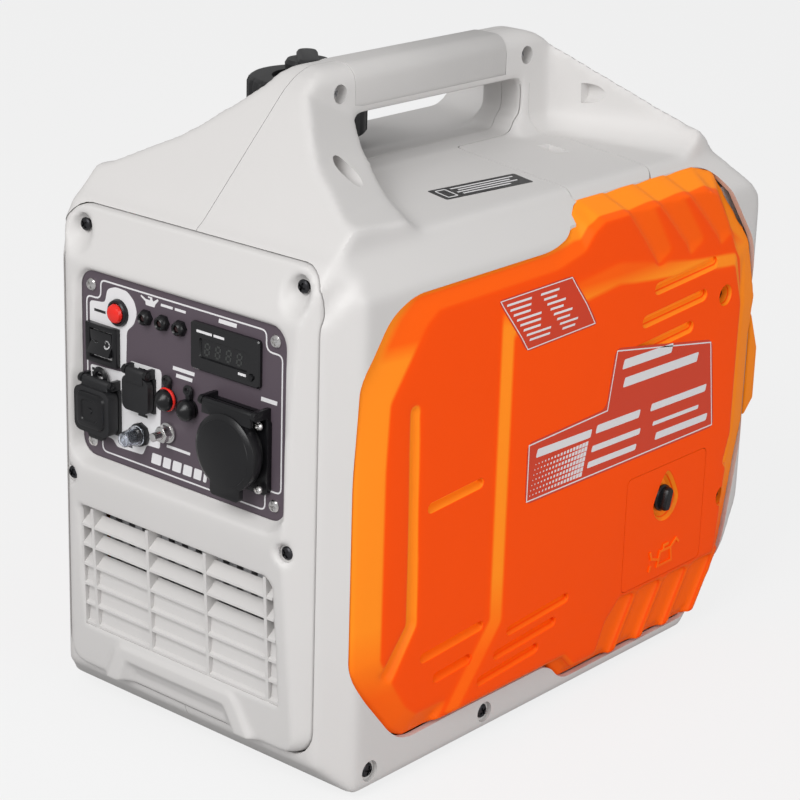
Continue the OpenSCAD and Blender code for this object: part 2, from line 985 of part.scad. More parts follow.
module dc_socket() {
    color("black") {
        difference() {
            union() {
                along(-panel_y - 2.5, -panel_y - fit)
                    translate(dc_at)
                        square(dc_size, center = true);
                along(-panel_y - 1, panel_back + 18)
                    translate(dc_at)
                        square(dc_size - [6.6, 6.6], center = true);
            }
            // socket for a two-pin charging plug
            along(-panel_y - 4, panel_back + 12)
                translate(dc_at)
                    square([12, 9], center = true);
        }
        hinge_ears(dc_at, dc_size, dc_back);
        along(-panel_y - 2.5, -panel_y - fit)
            translate([dc_at[0], hinge_z(dc_at, dc_size) - ear_r - 2])
                square([dc_size[0] - 2, 9], center = true);
    }
}

module dc_flap() {
    color("black") {
        along(dc_back - 5, dc_back)
            translate(dc_at)
                polygon(round_rect(-dc_size / 2, dc_size / 2, 5));
        lid_knuckle(dc_at, dc_size, dc_back);
    }
}

module dc_breaker() {
    color("black")
        difference() {
            union() {
                rod_y(breaker_r, -panel_y - 4, -panel_y - fit, breaker_at);
                rod_y(breaker_r - 1.3, -panel_y - 1, panel_back + 14, breaker_at);
            }
            rod_y(4 + run, -panel_y - 5, panel_back + 6, breaker_at);
        }
}

module dc_breaker_button() {
    color("white")
        rod_y(4, -panel_y - 9, panel_back + 1, breaker_at);
}

module breaker_boot() {
    color("lightblue")
        difference() {
            union() {
                rod_y(breaker_r - 1, -panel_y - 12, -panel_y - 4 - fit, breaker_at);
                translate([breaker_at[0], -panel_y - 12, breaker_at[1]])
                    intersection() {
                        sphere(r = breaker_r - 1);
                        block([-20, -20, -20], [20, 0.1, 20]);
                    }
            }
            rod_y(breaker_r - 2.2, -panel_y - 13, -panel_y - 3, breaker_at);
        }
}

module parallel_sockets() {
    color("black")
        for (s = parallel_at)
            difference() {
                union() {
                    rod_y(parallel_r + 0.8, -panel_y - 2, -panel_y - fit, s);
                    rod_y(parallel_r - 1, -panel_y - 1, panel_back + 20, s);
                }
                rod_y(2.1, -panel_y - 3, panel_back + 17, s);
            }
}

module parallel_cap(s) {
    rod_y(parallel_r, -panel_y - 12, -panel_y - 2 - fit, s);
    rod_y(2.1 - run, -panel_y - 5, panel_back + 5, s);
}

module parallel_cap_red() {
    color("red")
        parallel_cap(parallel_at[0]);
}

module parallel_cap_black() {
    color("black")
        parallel_cap(parallel_at[1]);
}

module ground_terminal() {
    color("silver") {
        rod_y(ground_r, -panel_y - 15, panel_back + 10, ground_at);
        rod_y(7, -panel_y - 2, -panel_y - fit, ground_at);
        along(-panel_y - 8, -panel_y - 2)
            translate(ground_at)
                circle(r = 5.8, $fn = 6);
    }
}

module ac_socket() {
    color("black") {
        difference() {
            union() {
                along(-panel_y - 4, -panel_y - fit)
                    translate(ac_at)
                        polygon(round_rect([-ac_plate / 2, -ac_plate / 2], [ac_plate / 2, ac_plate / 2], 4));
                rod_y(ac_r, -panel_y - 9, panel_back + 30, ac_at);
            }
            // well for a round two-pin plug
            rod_y(19.5, -panel_y - 10, -panel_y + 8, ac_at);
            for (side = [-1, 1])
                rod_y(2.6, -panel_y, panel_back + 25, ac_at + [9.5 * side, 0]);
        }
        hinge_ears(ac_at, [ac_plate, ac_plate], ac_back);
        along(-panel_y - 4, -panel_y - fit)
            translate([ac_at[0], hinge_z(ac_at, [ac_plate, ac_plate]) - ear_r - 2])
                square([ac_plate - 2, 10], center = true);
    }
}

module ac_socket_lid() {
    color("black") {
        rod_y(ac_plate / 2, ac_back - 7, ac_back, ac_at);
        translate([ac_at[0], ac_back - 7, ac_at[1]])
            rotate([90, 0, 0])
                cylinder(r1 = ac_plate / 2, r2 = ac_plate / 2 - 5, h = 2.5);
        lid_knuckle(ac_at, [ac_plate, ac_plate], ac_back);
        // thumb lip
        along(ac_back - 7, ac_back - 3)
            translate(ac_at - [0, ac_plate / 2])
                polygon(round_rect([-13, -5], [13, 6], 3));
    }
}

// ---------- side covers ----------

// Section of a side cover from above, drawn i inside its skin, as [x, y]
module cover_plan(i) {
    polygon([
        [0, -wide - 60],
        [half_w - 4 - i, -wide - 60],
        [half_w - 4 - i, -body_front + 18 + i],
        [cover_face - i, -body_front + 18 + rim_front + i / 2],
        [cover_face - i, body_rear - 40],
        [half_w - 3 - i, body_rear - 13 - i],
        [half_w - 3 - i, wide + 60],
        [0, wide + 60]
    ]);
}

// Section of a side cover from the front, below a top edge at [x, z]
module cover_section(i, edge, fall, foot) {
    polygon(concat(
        foot,
        [[half_w - 4 - i, 0], [half_w - 4 - i, base_z + 9 + i], [cover_face - i, base_z + 26]],
        [[cover_face - i, edge[1] - fall - i / 2], [edge[0] - i, edge[1] - i], [edge[0] - i, tall]],
        [[foot[0][0], tall]]));
}

// The field that stands out of the side cover, as [y, z]
module raised_field() {
    polygon([
        [-74, 285], [-74, 91], [-122, 34], [0, 34], [12, 22], [156, 22],
        [186, 44], [196, 128], [202, 162], [202, 250], [188, 290], [40, 304]
    ]);
}

// A side cover's outer form, drawn i inside its skin
module side_cover_form(i) {
    back_x = i > 0 ? 0 : seat_x + fit;
    shelf_back = i > 0 ? 0 : shelf_x;
    shelf_z = bevel_z - 13;
    intersection() {
        across(0, cover_face)
            polygon(cover_outline(-i));
        linear_extrude(tall)
            cover_plan(i);
        union() {
            along(-wide - 60, shelf_y + i)
                cover_section(i, [half_w - 2.5, bevel_z - 2], rim_top, [[back_x, 0]]);
            along(shelf_y + i, wide + 60)
                cover_section(i, [shelf_x, deck_z - 8], 14,
                    [[shelf_back, shelf_z], [back_x, shelf_z], [back_x, 0]]);
        }
    }
}

// A bar-shaped slot from [y, z], of length l and height h
module slot(at, l, h, x0) {
    across(x0, wide)
        translate(at)
            rotate(4) {
                translate([h / 2, -h / 2])
                    square([l - h, h]);
                for (end = [h / 2, l - h / 2])
                    translate([end, 0])
                        circle(r = h / 2, $fn = 24);
            }
}

// Upper vents, lower vents: [y, z, length, height]
vents = [
    [85, 286, 80, 9], [70, 265, 80, 9], [54, 244, 80, 9],
    [-158, 84, 66, 7], [-144, 65, 40, 7],
    [-69, 76, 70, 7], [-83, 62, 70, 7], [-100, 48, 68, 7]
];
grip_slot = [-155, 191, 57, 6];

module side_cover() {
    difference() {
        union() {
            difference() {
                union() {
                    side_cover_form(0);
                    across(seat_x + 2, field_face)
                        raised_field();
                }
                side_cover_form(wall);
            }
            // bosses that stand on the shell's screw arms
            for (s = side_screw_at)
                rod_x(pocket_r + 2, seat_x + fit, cover_face, s);
        }
        for (v = vents)
            slot([v[0], v[1]], v[2], v[3], half_w - 20);
        slot([grip_slot[0], grip_slot[1]], grip_slot[2], grip_slot[3], half_w - 20);
        for (s = side_screw_at) {
            rod_x(pocket_r, seat_x + fit + 3, wide, s);
            rod_x(screw_r + fit, 0, wide, s);
        }
        // groove beside the front rim
        across(cover_face - 1.4, wide)
            polygon([[-174, 262], [-168, 112], [-196, 82], [-190, 78], [-161, 108], [-167, 262]]);
    }
}

door_x = field_face - wall;
door_hinge = [door_x + 1.5, door_z0 + 1.5];
latch_at = [door_y0 + 46, door_z0 + 62];

// The oil door's opening, grown by d
module door_area(d) {
    polygon([
        [door_y0 - d, door_z0 - d], [door_y0 + door_l + d, door_z0 - d],
        [door_y0 + door_l + d, door_z0 + door_h + d], [door_y0 - d, door_z0 + door_h + d]]);
}

module right_side_cover() {
    color("orangered")
        difference() {
            side_cover();
            across(seat_x, wide)
                door_area(-4);
            across(door_x - fit, wide)
                door_area(fit);
            rod_y(1 + run, door_y0 - 3.6, door_y0 + door_l + 3.6, door_hinge);
        }
}

module oil_door() {
    color("orangered")
        difference() {
            union() {
                intersection() {
                    across(door_x, field_face)
                        door_area(0);
                    union() {
                        block([0, -wide, door_hinge[1]], [wide, wide, tall]);
                        rod_y(1.5, -wide, wide, door_hinge);
                    }
                }
                rod_y(1, door_y0 - 3, door_y0 + door_l + 3, door_hinge);
            }
            // dish round the latch knob
            rod_x(22, field_face - 1.2, wide, latch_at);
            rod_x(3 + run, 0, wide, latch_at);
        }
}

module oil_door_knob() {
    color("black") {
        rod_x(latch_r, field_face - 1.2 + fit, field_face + 2, latch_at);
        across(field_face - 1.2 + fit, field_face + 4.5)
            translate(latch_at)
                rotate(60)
                    square([2 * latch_r - 2, 5], center = true);
        rod_x(3, door_x - 4, field_face, latch_at);
        across(door_x - 4, door_x - fit)
            translate(latch_at)
                rotate(60)
                    translate([-4, -4])
                        square([20, 8]);
    }
}

// Pocket for the recoil starter's grip in the left cover, as [y, z]
pull_at = [-20, 225];
pull_size = [112, 34];
pull_floor = half_w - 22;

module left_side_cover() {
    color("orangered")
        mirror([1, 0, 0])
            difference() {
                union() {
                    side_cover();
                    across(pull_floor - wall, cover_face)
                        translate(pull_at)
                            square(pull_size + [6, 6], center = true);
                }
                across(pull_floor, wide)
                    translate(pull_at)
                        polygon(round_rect(-pull_size / 2, pull_size / 2, 10));
                rod_x(rope_d / 2 + fit, 0, wide, pull_at);
            }
}

module side_cover_screws() {
    color("dimgray")
        both_sides()
            for (s = side_screw_at) {
                rod_x(head_r, seat_x + 2 * fit + 3, seat_x + 7, s);
                rod_x(screw_r, seat_x - wall - 4, seat_x + 5, s);
            }
}

// ---------- bottom ----------

tray_half = half_w - 14;
tray_front = -body_front + 32;
tray_rear = body_rear - 96;
foot_at = [[88, -175], [88, 112]];
mount_at = [[0, -40], [70, -40], [0, 40], [70, 40]];
mount_z = 38;

module base_tray() {
    color("dimgray")
        difference() {
            union() {
                block([-tray_half, tray_front, tray_z], [tray_half, tray_rear, tray_top]);
                both_sides()
                    block([tray_half - wall, tray_front, tray_z], [tray_half, tray_rear, tray_top + 16]);
                for (m = mount_at)
                    rod_z(10, tray_z, mount_z, [m[0], crank_y + m[1]]);
            }
            both_sides()
                for (s = rail_bolt_at)
                    rod_x(screw_r + 0.5 + fit, tray_half - 10, wide, s);
        }
}

module rubber_feet() {
    color("black")
        both_sides()
            for (f = foot_at)
                rod_z(foot_r, 0, foot_h, f);
}

module base_bolts() {
    color("dimgray")
        both_sides()
            for (s = rail_bolt_at) {
                rod_x(head_r + 1, half_w + fit, half_w + 3, s);
                rod_x(screw_r + 0.5, tray_half - 8, half_w + 1, s);
                rod_x(head_r, tray_half - wall - fit - 4, tray_half - wall - fit, s);
            }
}

// ---------- rear ----------

outlet_at = [86, 208];
outlet_r = 13;

module rear_cover() {
    color("gainsboro")
        difference() {
            intersection() {
                difference() {
                    body_form(0);
                    body_form(wall - 0.1);
                }
                along(100, tall)
                    rear_area(0);
            }
            rod_y(outlet_r + 2, 200, tall, outlet_at);
            for (row = [0 : 5])
                block([-88, 200, 180 + row * 12], [44, tall, 186 + row * 12]);
        }
}

guard_x = [62, 124];

module exhaust_guard() {
    color("orangered")
        difference() {
            across(guard_x[0], guard_x[1])
                polygon([
                    [body_rear + fit, 236], [body_rear + 12, 205],
                    [body_rear + 12, 164], [body_rear + fit, 152]]);
            across(guard_x[0] + wall, guard_x[1] - wall)
                polygon([
                    [body_rear, 228], [body_rear + 12 - wall, 203],
                    [body_rear + 12 - wall, 167], [body_rear, 158]]);
            for (k = [0 : 3])
                block([guard_x[0] + 8 + k * 13, 200, 172], [guard_x[0] + 14 + k * 13, tall, 198]);
        }
}

module muffler() {
    color("gray")
        difference() {
            union() {
                along(body_rear - 84, body_rear - 26)
                    polygon(round_rect([2, 150], [112, 252], 16));
                rod_z(15, 240, 292, [35, body_rear - 60]);
                rod_y(12, crank_y + fin_w / 2 + fit, body_rear - 60, [35, 277]);
                rod_y(outlet_r, body_rear - 30, body_rear - 2, outlet_at);
            }
            rod_y(outlet_r - 2, body_rear - 40, body_rear, outlet_at);
        }
}

module spark_arrester() {
    color("silver")
        difference() {
            rod_y(outlet_r - 2 - fit, body_rear - 22, body_rear - 1, outlet_at);
            rod_y(outlet_r - 3.5, body_rear - 20, body_rear, outlet_at);
        }
}

// ---------- fuel ----------

cap_bottom = deck_mid + 1;

module fuel_cap() {
    color("black")
        difference() {
            union() {
                difference() {
                    rod_z(cap_r, cap_bottom, cap_top, [-cap_x, cap_y]);
                    rod_z(cap_r - 3, cap_bottom - 1, cap_top - 6, [-cap_x, cap_y]);
                }
                rod_z(cap_r - 1, neck_top + fit, cap_top - 1, [-cap_x, cap_y]);
                rod_z(neck_r - 4 - run, neck_top - 14, neck_top + 1, [-cap_x, cap_y]);
            }
            // shallow grip flutes
            for (k = [0 : 23])
                translate([-cap_x, cap_y, 0])
                    rotate([0, 0, k * 15])
                        rod_z(1.6, cap_bottom - 1, cap_top - 6, [cap_r + 0.8, 0]);
            rod_z(5 + run, cap_top - 12, cap_top + 1, [-cap_x, cap_y]);
        }
}

module vent_knob() {
    color("black") {
        rod_z(5, cap_top - 11, cap_top + 2, [-cap_x, cap_y]);
        difference() {
            rod_z(25, cap_top + fit, cap_top + 15, [-cap_x, cap_y]);
            for (k = [0 : 1])
                translate([-cap_x, cap_y, 0])
                    rotate([0, 0, 40 + 180 * k])
                        rod_z(17, cap_top + 4, cap_top + 16, [26, 0]);
        }
    }
}

module fuel_tank() {
    color("dimgray")
        difference() {
            union() {
                along(-188, 14)
                    polygon(round_rect([-120, 262], [-20, tank_top], 14));
                rod_z(neck_r, tank_top - 1, neck_top, [-cap_x, cap_y]);
            }
            along(-185, 11)
                polygon(round_rect([-117, 265], [-23, tank_top - 3], 11));
            rod_z(neck_r - 4, tank_top - 10, neck_top + 1, [-cap_x, cap_y]);
        }
}

// ---------- engine ----------

case_x = [-10, 80];
case_z = [52, 186];
case_y = [crank_y - 50, crank_y + 50];
dip_at = [crank_y + 30, 100];
bore_x = 37;

module crankcase() {
    color("silver")
        difference() {
            union() {
                along(case_y[0], case_y[1])
                    polygon(round_rect([case_x[0], case_z[0]], [case_x[1], case_z[1]], 12));
                for (m = mount_at)
                    rod_z(9, mount_z + fit, case_z[0] + 14, [m[0] + (m[0] > 0 ? -4 : 4), crank_y + m[1]]);
                rod_x(12, case_x[1] - 1, case_x[1] + 32, dip_at);
            }
            along(case_y[0] + 6, case_y[1] - 6)
                polygon(round_rect([case_x[0] + 8, case_z[0] + 6], [case_x[1] - 8, case_z[1] - 10], 8));
            rod_x(crank_r + run, case_x[0] - 1, case_x[1] - 3, [crank_y, crank_z]);
            rod_x(8, case_x[1] - 12, case_x[1] + 33, dip_at);
            rod_z(27, case_z[1] - 20, case_z[1] + 1, [bore_x, crank_y]);
        }
}

module crankshaft() {
    color("silver") {
        rod_x(crank_r, -94, case_x[1] - 4, [crank_y, crank_z]);
        // crank webs and counterweights
        for (x = [18, 42])
            across(x, x + 10)
                translate([crank_y, crank_z]) {
                    circle(r = 20);
                    translate([-16, -30])
                        square([32, 24]);
                }
    }
}

module cylinder_block() {
    color("lightgray")
        difference() {
            union() {
                rod_z(33, case_z[1] + fit, 300, [bore_x, crank_y]);
                for (k = [0 : fin_count - 1])
                    translate([bore_x, crank_y, case_z[1] + 6 + k * 12])
                        linear_extrude(4)
                            polygon(round_rect([-fin_w / 2, -fin_w / 2], [fin_w / 2, fin_w / 2], 10));
                block(
                    [bore_x - fin_w / 2, crank_y - fin_w / 2, 262],
                    [bore_x + fin_w / 2, crank_y + fin_w / 2, 292]);
            }
            rod_z(26, case_z[1] - 1, 272, [bore_x, crank_y]);
            rod_z(5 + fit, 268, 293, [plug_x, crank_y]);
            block([-wide, -wide, 292], [wide, wide, tall]);
        }
}

plug_x = 68;

module valve_cover() {
    color("silver")
        block([bore_x - 42, crank_y - 34, 292 + fit], [bore_x + 18, crank_y + 34, 318]);
}

module spark_plug() {
    color("white") {
        rod_z(5, 270, 293, [plug_x, crank_y]);
        translate([plug_x, crank_y, 292 + fit])
            cylinder(r = 9, h = 10, $fn = 6);
        rod_z(5, 300, 326, [plug_x, crank_y]);
    }
}

module plug_cap() {
    color("black")
        difference() {
            union() {
                rod_z(9, 306, 344, [plug_x, crank_y]);
                rod_x(6, plug_x, plug_x + 34, [crank_y, 336]);
            }
            rod_z(5 + fit, 305, 326 + fit, [plug_x, crank_y]);
        }
}

rotor_x = [-66, -16];

module flywheel_fan() {
    color("gray")
        difference() {
            union() {
                rod_x(rotor_r, rotor_x[0], rotor_x[0] + 6, [crank_y, crank_z]);
                difference() {
                    rod_x(rotor_r, rotor_x[0], rotor_x[1], [crank_y, crank_z]);
                    rod_x(stator_r + 4, rotor_x[0], rotor_x[1] + 1, [crank_y, crank_z]);
                }
                rod_x(17, -90, rotor_x[0] + 14, [crank_y, crank_z]);
                for (k = [0 : fan_blades - 1])
                    translate([0, crank_y, crank_z])
                        rotate([k * 360 / fan_blades, 0, 0])
                            block([-82, -1.5, 16], [rotor_x[0] + 0.1, 1.5, rotor_r - 1]);
            }
            rod_x(crank_r + run, -100, 0, [crank_y, crank_z]);
        }
}

module stator() {
    color("peru")
        difference() {
            union() {
                rod_x(stator_r, rotor_x[0] + 18, case_x[0] - fit, [crank_y, crank_z]);
            }
            rod_x(26, -100, 0, [crank_y, crank_z]);
            for (k = [0 : 11])
                translate([0, crank_y, crank_z])
                    rotate([k * 30, 0, 0])
                        block([-60, -3, 34], [case_x[0] - 8, 3, stator_r + 1]);
        }
}

shroud_r = rotor_r + 9;

module fan_shroud() {
    color("dimgray")
        difference() {
            rod_x(shroud_r, -96, case_x[0] - fit, [crank_y, crank_z]);
            rod_x(shroud_r - 3, -97, case_x[0], [crank_y, crank_z]);
            // air duct towards the cylinder
            block([-60, crank_y - 22, crank_z], [-14, crank_y + 22, tall]);
        }
}

module recoil_housing() {
    color("black")
        difference() {
            union() {
                rod_x(shroud_r, -100, -96 - fit, [crank_y, crank_z]);
                rod_x(pulley_r + 6, -124, -97, [crank_y, crank_z]);
            }
            rod_x(pulley_r + 3, -121, -90, [crank_y, crank_z]);
            // rope outlet
            rod_y(4, 0, crank_y, [-111, crank_z]);
            for (k = [0 : 5])
                translate([0, crank_y, crank_z])
                    rotate([k * 60, 0, 0])
                        block([-130, -3, 16], [-118, 3, pulley_r - 2]);
        }
    color("black")
        rod_x(8, -122, -101, [crank_y, crank_z]);
}

module recoil_pulley() {
    color("ivory")
        difference() {
            rod_x(pulley_r, -118, -104, [crank_y, crank_z]);
            // rope groove
            difference() {
                rod_x(pulley_r + 1, -113.5, -108.5, [crank_y, crank_z]);
                rod_x(pulley_r - 6, -114, -108, [crank_y, crank_z]);
            }
            rod_x(8 + run, -120, -100, [crank_y, crank_z]);
            for (k = [0 : 2])
                translate([0, crank_y, crank_z])
                    rotate([k * 120, 0, 0])
                        rod_x(6, -107, -100, [0, 22]);
        }
}

module recoil_grip() {
    color("black")
        difference() {
            across(-cover_face - 0.5, -pull_floor - fit - 2)
                translate(pull_at)
                    polygon(round_rect([-48, -13], [48, 13], 11));
            // finger hollows
            for (side = [-1, 1])
                rod_z(9, 0, tall, [-pull_floor, pull_at[0] + side * 28]);
        }
    color("ivory")
        rod_x(rope_d / 2, -pull_floor - 10, -pull_floor + rope_len, pull_at);
}

module oil_dipstick() {
    color("black") {
        rod_x(17, case_x[1] + 32 + fit, case_x[1] + 43, dip_at);
        rod_x(8 - run, case_x[1] + 20, case_x[1] + 34, dip_at);
        rod_x(2.5, case_x[1] - 16, case_x[1] + 22, dip_at);
    }
}

// ---------- intake ----------

carb_y = crank_y - fin_w / 2;

module carburettor() {
    color("lightgray")
        difference() {
            union() {
                block([18, carb_y - 34, 262], [52, carb_y - fit, 294]);
                rod_z(16, 238, 264, [bore_x, carb_y - 16]);
            }
            rod_y(10, carb_y - 35, carb_y, [bore_x, 277]);
        }
}

module throttle_motor() {
    color("black")
        rod_z(15, 294 + fit, 318, [bore_x, carb_y - 17]);
}

module air_filter_box() {
    color("black")
        difference() {
            block([-4, carb_y - 124, 216], [112, carb_y - 34 - fit, 328]);
            block([-1, carb_y - 121, 219], [109, carb_y - 37 - fit, 325]);
            rod_y(10, carb_y - 40, carb_y, [bore_x, 277]);
            // intake snorkel
            block([20, carb_y - 130, 290], [80, carb_y - 110, 312]);
        }
    // foam element on the floor of the box
    color("green")
        difference() {
            block([0, carb_y - 110, 218.9], [108, carb_y - 60, 310]);
            block([16, carb_y - 100, 240], [92, carb_y - 55, 300]);
        }
}

module inverter_module() {
    color("silver") {
        difference() {
            block([-82, -body_front + 8, 44], [82, -body_front + 48, 164]);
            for (k = [0 : 11])
                block([-76 + k * 13, -body_front + 7, 50], [-70 + k * 13, -body_front + 24, 158]);
        }
        block([-74, -body_front + 36, tray_top + fit], [74, -body_front + 46, 46]);
    }
}

// ---------- what is drawn ----------

right_shell();
left_shell();
front_cover();
rear_cover();
right_side_cover();
left_side_cover();
base_tray();
rubber_feet();
handle_grip();
shell_screws();
front_cover_screws();
side_cover_screws();
base_bolts();
panel_screws();
control_panel();
reset_button();
engine_switch_bezel();
engine_switch_rocker();
indicator_lamps();
meter_display();
meter_mode_button();
usb_socket();
usb_flap();
dc_socket();
dc_flap();
dc_breaker();
dc_breaker_button();
breaker_boot();
parallel_sockets();
parallel_cap_red();
parallel_cap_black();
ground_terminal();
ac_socket();
ac_socket_lid();
oil_door();
oil_door_knob();
spark_plug_lid();
fuel_cap();
vent_knob();
fuel_tank();
exhaust_guard();
muffler();
spark_arrester();
crankcase();
cylinder_block();
valve_cover();
spark_plug();
plug_cap();
crankshaft();
flywheel_fan();
stator();
fan_shroud();
recoil_housing();
recoil_pulley();
recoil_grip();
oil_dipstick();
carburettor();
throttle_motor();
air_filter_box();
inverter_module();
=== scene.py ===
import json
import math

import bmesh
import bpy
from mathutils import Matrix, Vector


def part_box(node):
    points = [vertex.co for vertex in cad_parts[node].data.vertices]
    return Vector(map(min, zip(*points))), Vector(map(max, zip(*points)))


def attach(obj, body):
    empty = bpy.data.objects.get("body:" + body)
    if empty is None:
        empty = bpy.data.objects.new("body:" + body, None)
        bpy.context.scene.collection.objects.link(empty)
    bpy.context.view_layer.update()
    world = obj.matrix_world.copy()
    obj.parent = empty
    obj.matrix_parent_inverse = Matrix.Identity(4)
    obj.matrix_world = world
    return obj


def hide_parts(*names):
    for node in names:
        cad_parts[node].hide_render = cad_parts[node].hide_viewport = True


bl_info = {
    "name": "Portable Generator",
    "version": (1, 0, 0),
    "blender": (4, 5, 0),
    "location": "3D View > Sidebar > Generator",
    "description": "Builds a suitcase-style portable generator around its packed CAD frame",
    "category": "Object",
}

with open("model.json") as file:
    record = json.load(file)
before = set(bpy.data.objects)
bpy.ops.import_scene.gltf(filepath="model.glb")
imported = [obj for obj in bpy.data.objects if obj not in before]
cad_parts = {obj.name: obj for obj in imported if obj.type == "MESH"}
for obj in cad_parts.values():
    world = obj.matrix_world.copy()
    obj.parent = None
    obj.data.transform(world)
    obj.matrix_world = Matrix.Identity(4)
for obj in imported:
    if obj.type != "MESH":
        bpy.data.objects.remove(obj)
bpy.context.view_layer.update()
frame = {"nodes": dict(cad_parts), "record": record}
RECORD_SLOTS = {s["node"]: s["material_slot"] for s in frame["record"]["subparts"]}
MM = 0.001


def low(node):
    """Lowest corner of a CAD node, in millimetres."""
    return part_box(node)[0] / MM


def high(node):
    """Highest corner of a CAD node, in millimetres."""
    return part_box(node)[1] / MM


# Main planes of the object, in millimetres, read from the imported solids
HALF_W = high("right_shell").x
FRONT = low("right_shell").y
REAR = high("right_shell").y
BASE = low("right_shell").z
TOP = high("right_shell").z
DECK_MID = 386.0
DECK_EDGE = 374.0
BEVEL_X = 115.0
# How far the deck falls towards each side
DECK_TILT = math.atan(12 / 115)
PANEL_Y = low("control_panel").y
COVER_FACE = 139.5
FIELD_FACE = high("oil_door").x
BAR_HALF = high("handle_grip").x
GAP_TOP = low("handle_grip").z
MID_Y = (low("handle_grip").y + high("handle_grip").y) / 2


# ---------- sizes and colours ----------

class GeneratorLooks(bpy.types.PropertyGroup):
    """Colours and sizes of the finished generator."""
    shell: bpy.props.FloatVectorProperty(name="Shell", description="Moulded half shells and end covers",
        subtype="COLOR", size=3, min=0, max=1, default=(0.60, 0.585, 0.575))
    cover: bpy.props.FloatVectorProperty(name="Side cover", description="Moulded side covers",
        subtype="COLOR", size=3, min=0, max=1, default=(1.0, 0.080, 0.0004))
    label: bpy.props.FloatVectorProperty(name="Side label", description="Printed film on the side covers",
        subtype="COLOR", size=3, min=0, max=1, default=(0.62, 0.04, 0.006))
    plate: bpy.props.FloatVectorProperty(name="Panel plate", description="Printed control panel",
        subtype="COLOR", size=3, min=0, max=1, default=(0.090, 0.070, 0.086))
    black: bpy.props.FloatVectorProperty(name="Black parts", description="Sockets, lids and knobs",
        subtype="COLOR", size=3, min=0, max=1, default=(0.006, 0.006, 0.007))
    button: bpy.props.FloatVectorProperty(name="Reset button", description="Red push button",
        subtype="COLOR", size=3, min=0, max=1, default=(0.75, 0.02, 0.012))
    voxel: bpy.props.FloatProperty(name="Mould resolution",
        description="Cell size used to blend the shell's forms, in millimetres", default=3.0, min=2.0,
        max=6.0)
    blend: bpy.props.IntProperty(name="Blend passes",
        description="Smoothing passes that round the shell's edges", default=9, min=0, max=40)
    seam: bpy.props.FloatProperty(name="Seam", description="Gap round the covers, in millimetres",
        default=0.5, min=0.2, max=1.5)
    edge: bpy.props.FloatProperty(name="Edge",
        description="Rounding of small moulded parts, in millimetres", default=0.5, min=0.1, max=1.5)


class StageLooks(bpy.types.PropertyGroup):
    """Light, floor and camera."""
    key: bpy.props.FloatProperty(name="Key light", description="Power of the large soft light",
        subtype="POWER", default=50.0, min=0)
    fill: bpy.props.FloatProperty(name="Fill light", description="Power of the side light", subtype="POWER",
        default=30.0, min=0)
    world: bpy.props.FloatProperty(name="World", description="Strength of the light from all round",
        default=0.46, min=0)
    azimuth: bpy.props.FloatProperty(name="Azimuth", description="Camera's turn from the front",
        subtype="ANGLE", default=math.radians(40.48))
    elevation: bpy.props.FloatProperty(name="Elevation", description="Camera's height angle",
        subtype="ANGLE", default=math.radians(19.41))
    roll: bpy.props.FloatProperty(name="Roll", description="Camera's roll", subtype="ANGLE",
        default=math.radians(1.73))
    distance: bpy.props.FloatProperty(name="Distance", description="Camera to its aim point",
        subtype="DISTANCE", unit="LENGTH", default=1.7805)
    aim: bpy.props.FloatVectorProperty(name="Aim", description="Point the camera looks at", subtype="XYZ",
        unit="LENGTH", size=3, default=(-0.0200, 0.0, 0.1885))
    lens: bpy.props.FloatProperty(name="Lens", description="Focal length on a 36 mm sensor", default=108.43,
        min=20)


# ---------- shader maths ----------

class Wire:
    """A shader value or colour that Python arithmetic can be written on."""

    def __init__(self, tree, socket):
        self.tree = tree
        self.socket = socket

    def math(self, operation, *others):
        node = self.tree.nodes.new("ShaderNodeMath")
        node.operation = operation
        for slot, value in zip(node.inputs, (self,) + others):
            join(self.tree, slot, value)
        return Wire(self.tree, node.outputs[0])

    def __add__(self, other):
        return self.math("ADD", other)

    __radd__ = __add__

    def __mul__(self, other):
        return self.math("MULTIPLY", other)

    __rmul__ = __mul__

    def __sub__(self, other):
        return self.math("SUBTRACT", other)

    def __rsub__(self, other):
        return (self * -1.0) + other

    def __truediv__(self, other):
        return self.math("DIVIDE", other)

    def __gt__(self, other):
        return self.math("GREATER_THAN", other)

    def __lt__(self, other):
        return self.math("LESS_THAN", other)

    def wave(self, period):
        return (self * (2 * math.pi / period)).math("SINE")

    def part(self, name):
        return Wire(self.tree, self.socket.node.outputs[name])


def join(tree, slot, value):
    """Feeds an input socket with a link or a constant."""
    if isinstance(value, Wire):
        tree.links.new(value.socket, slot)
    elif value is not None:
        slot.default_value = value


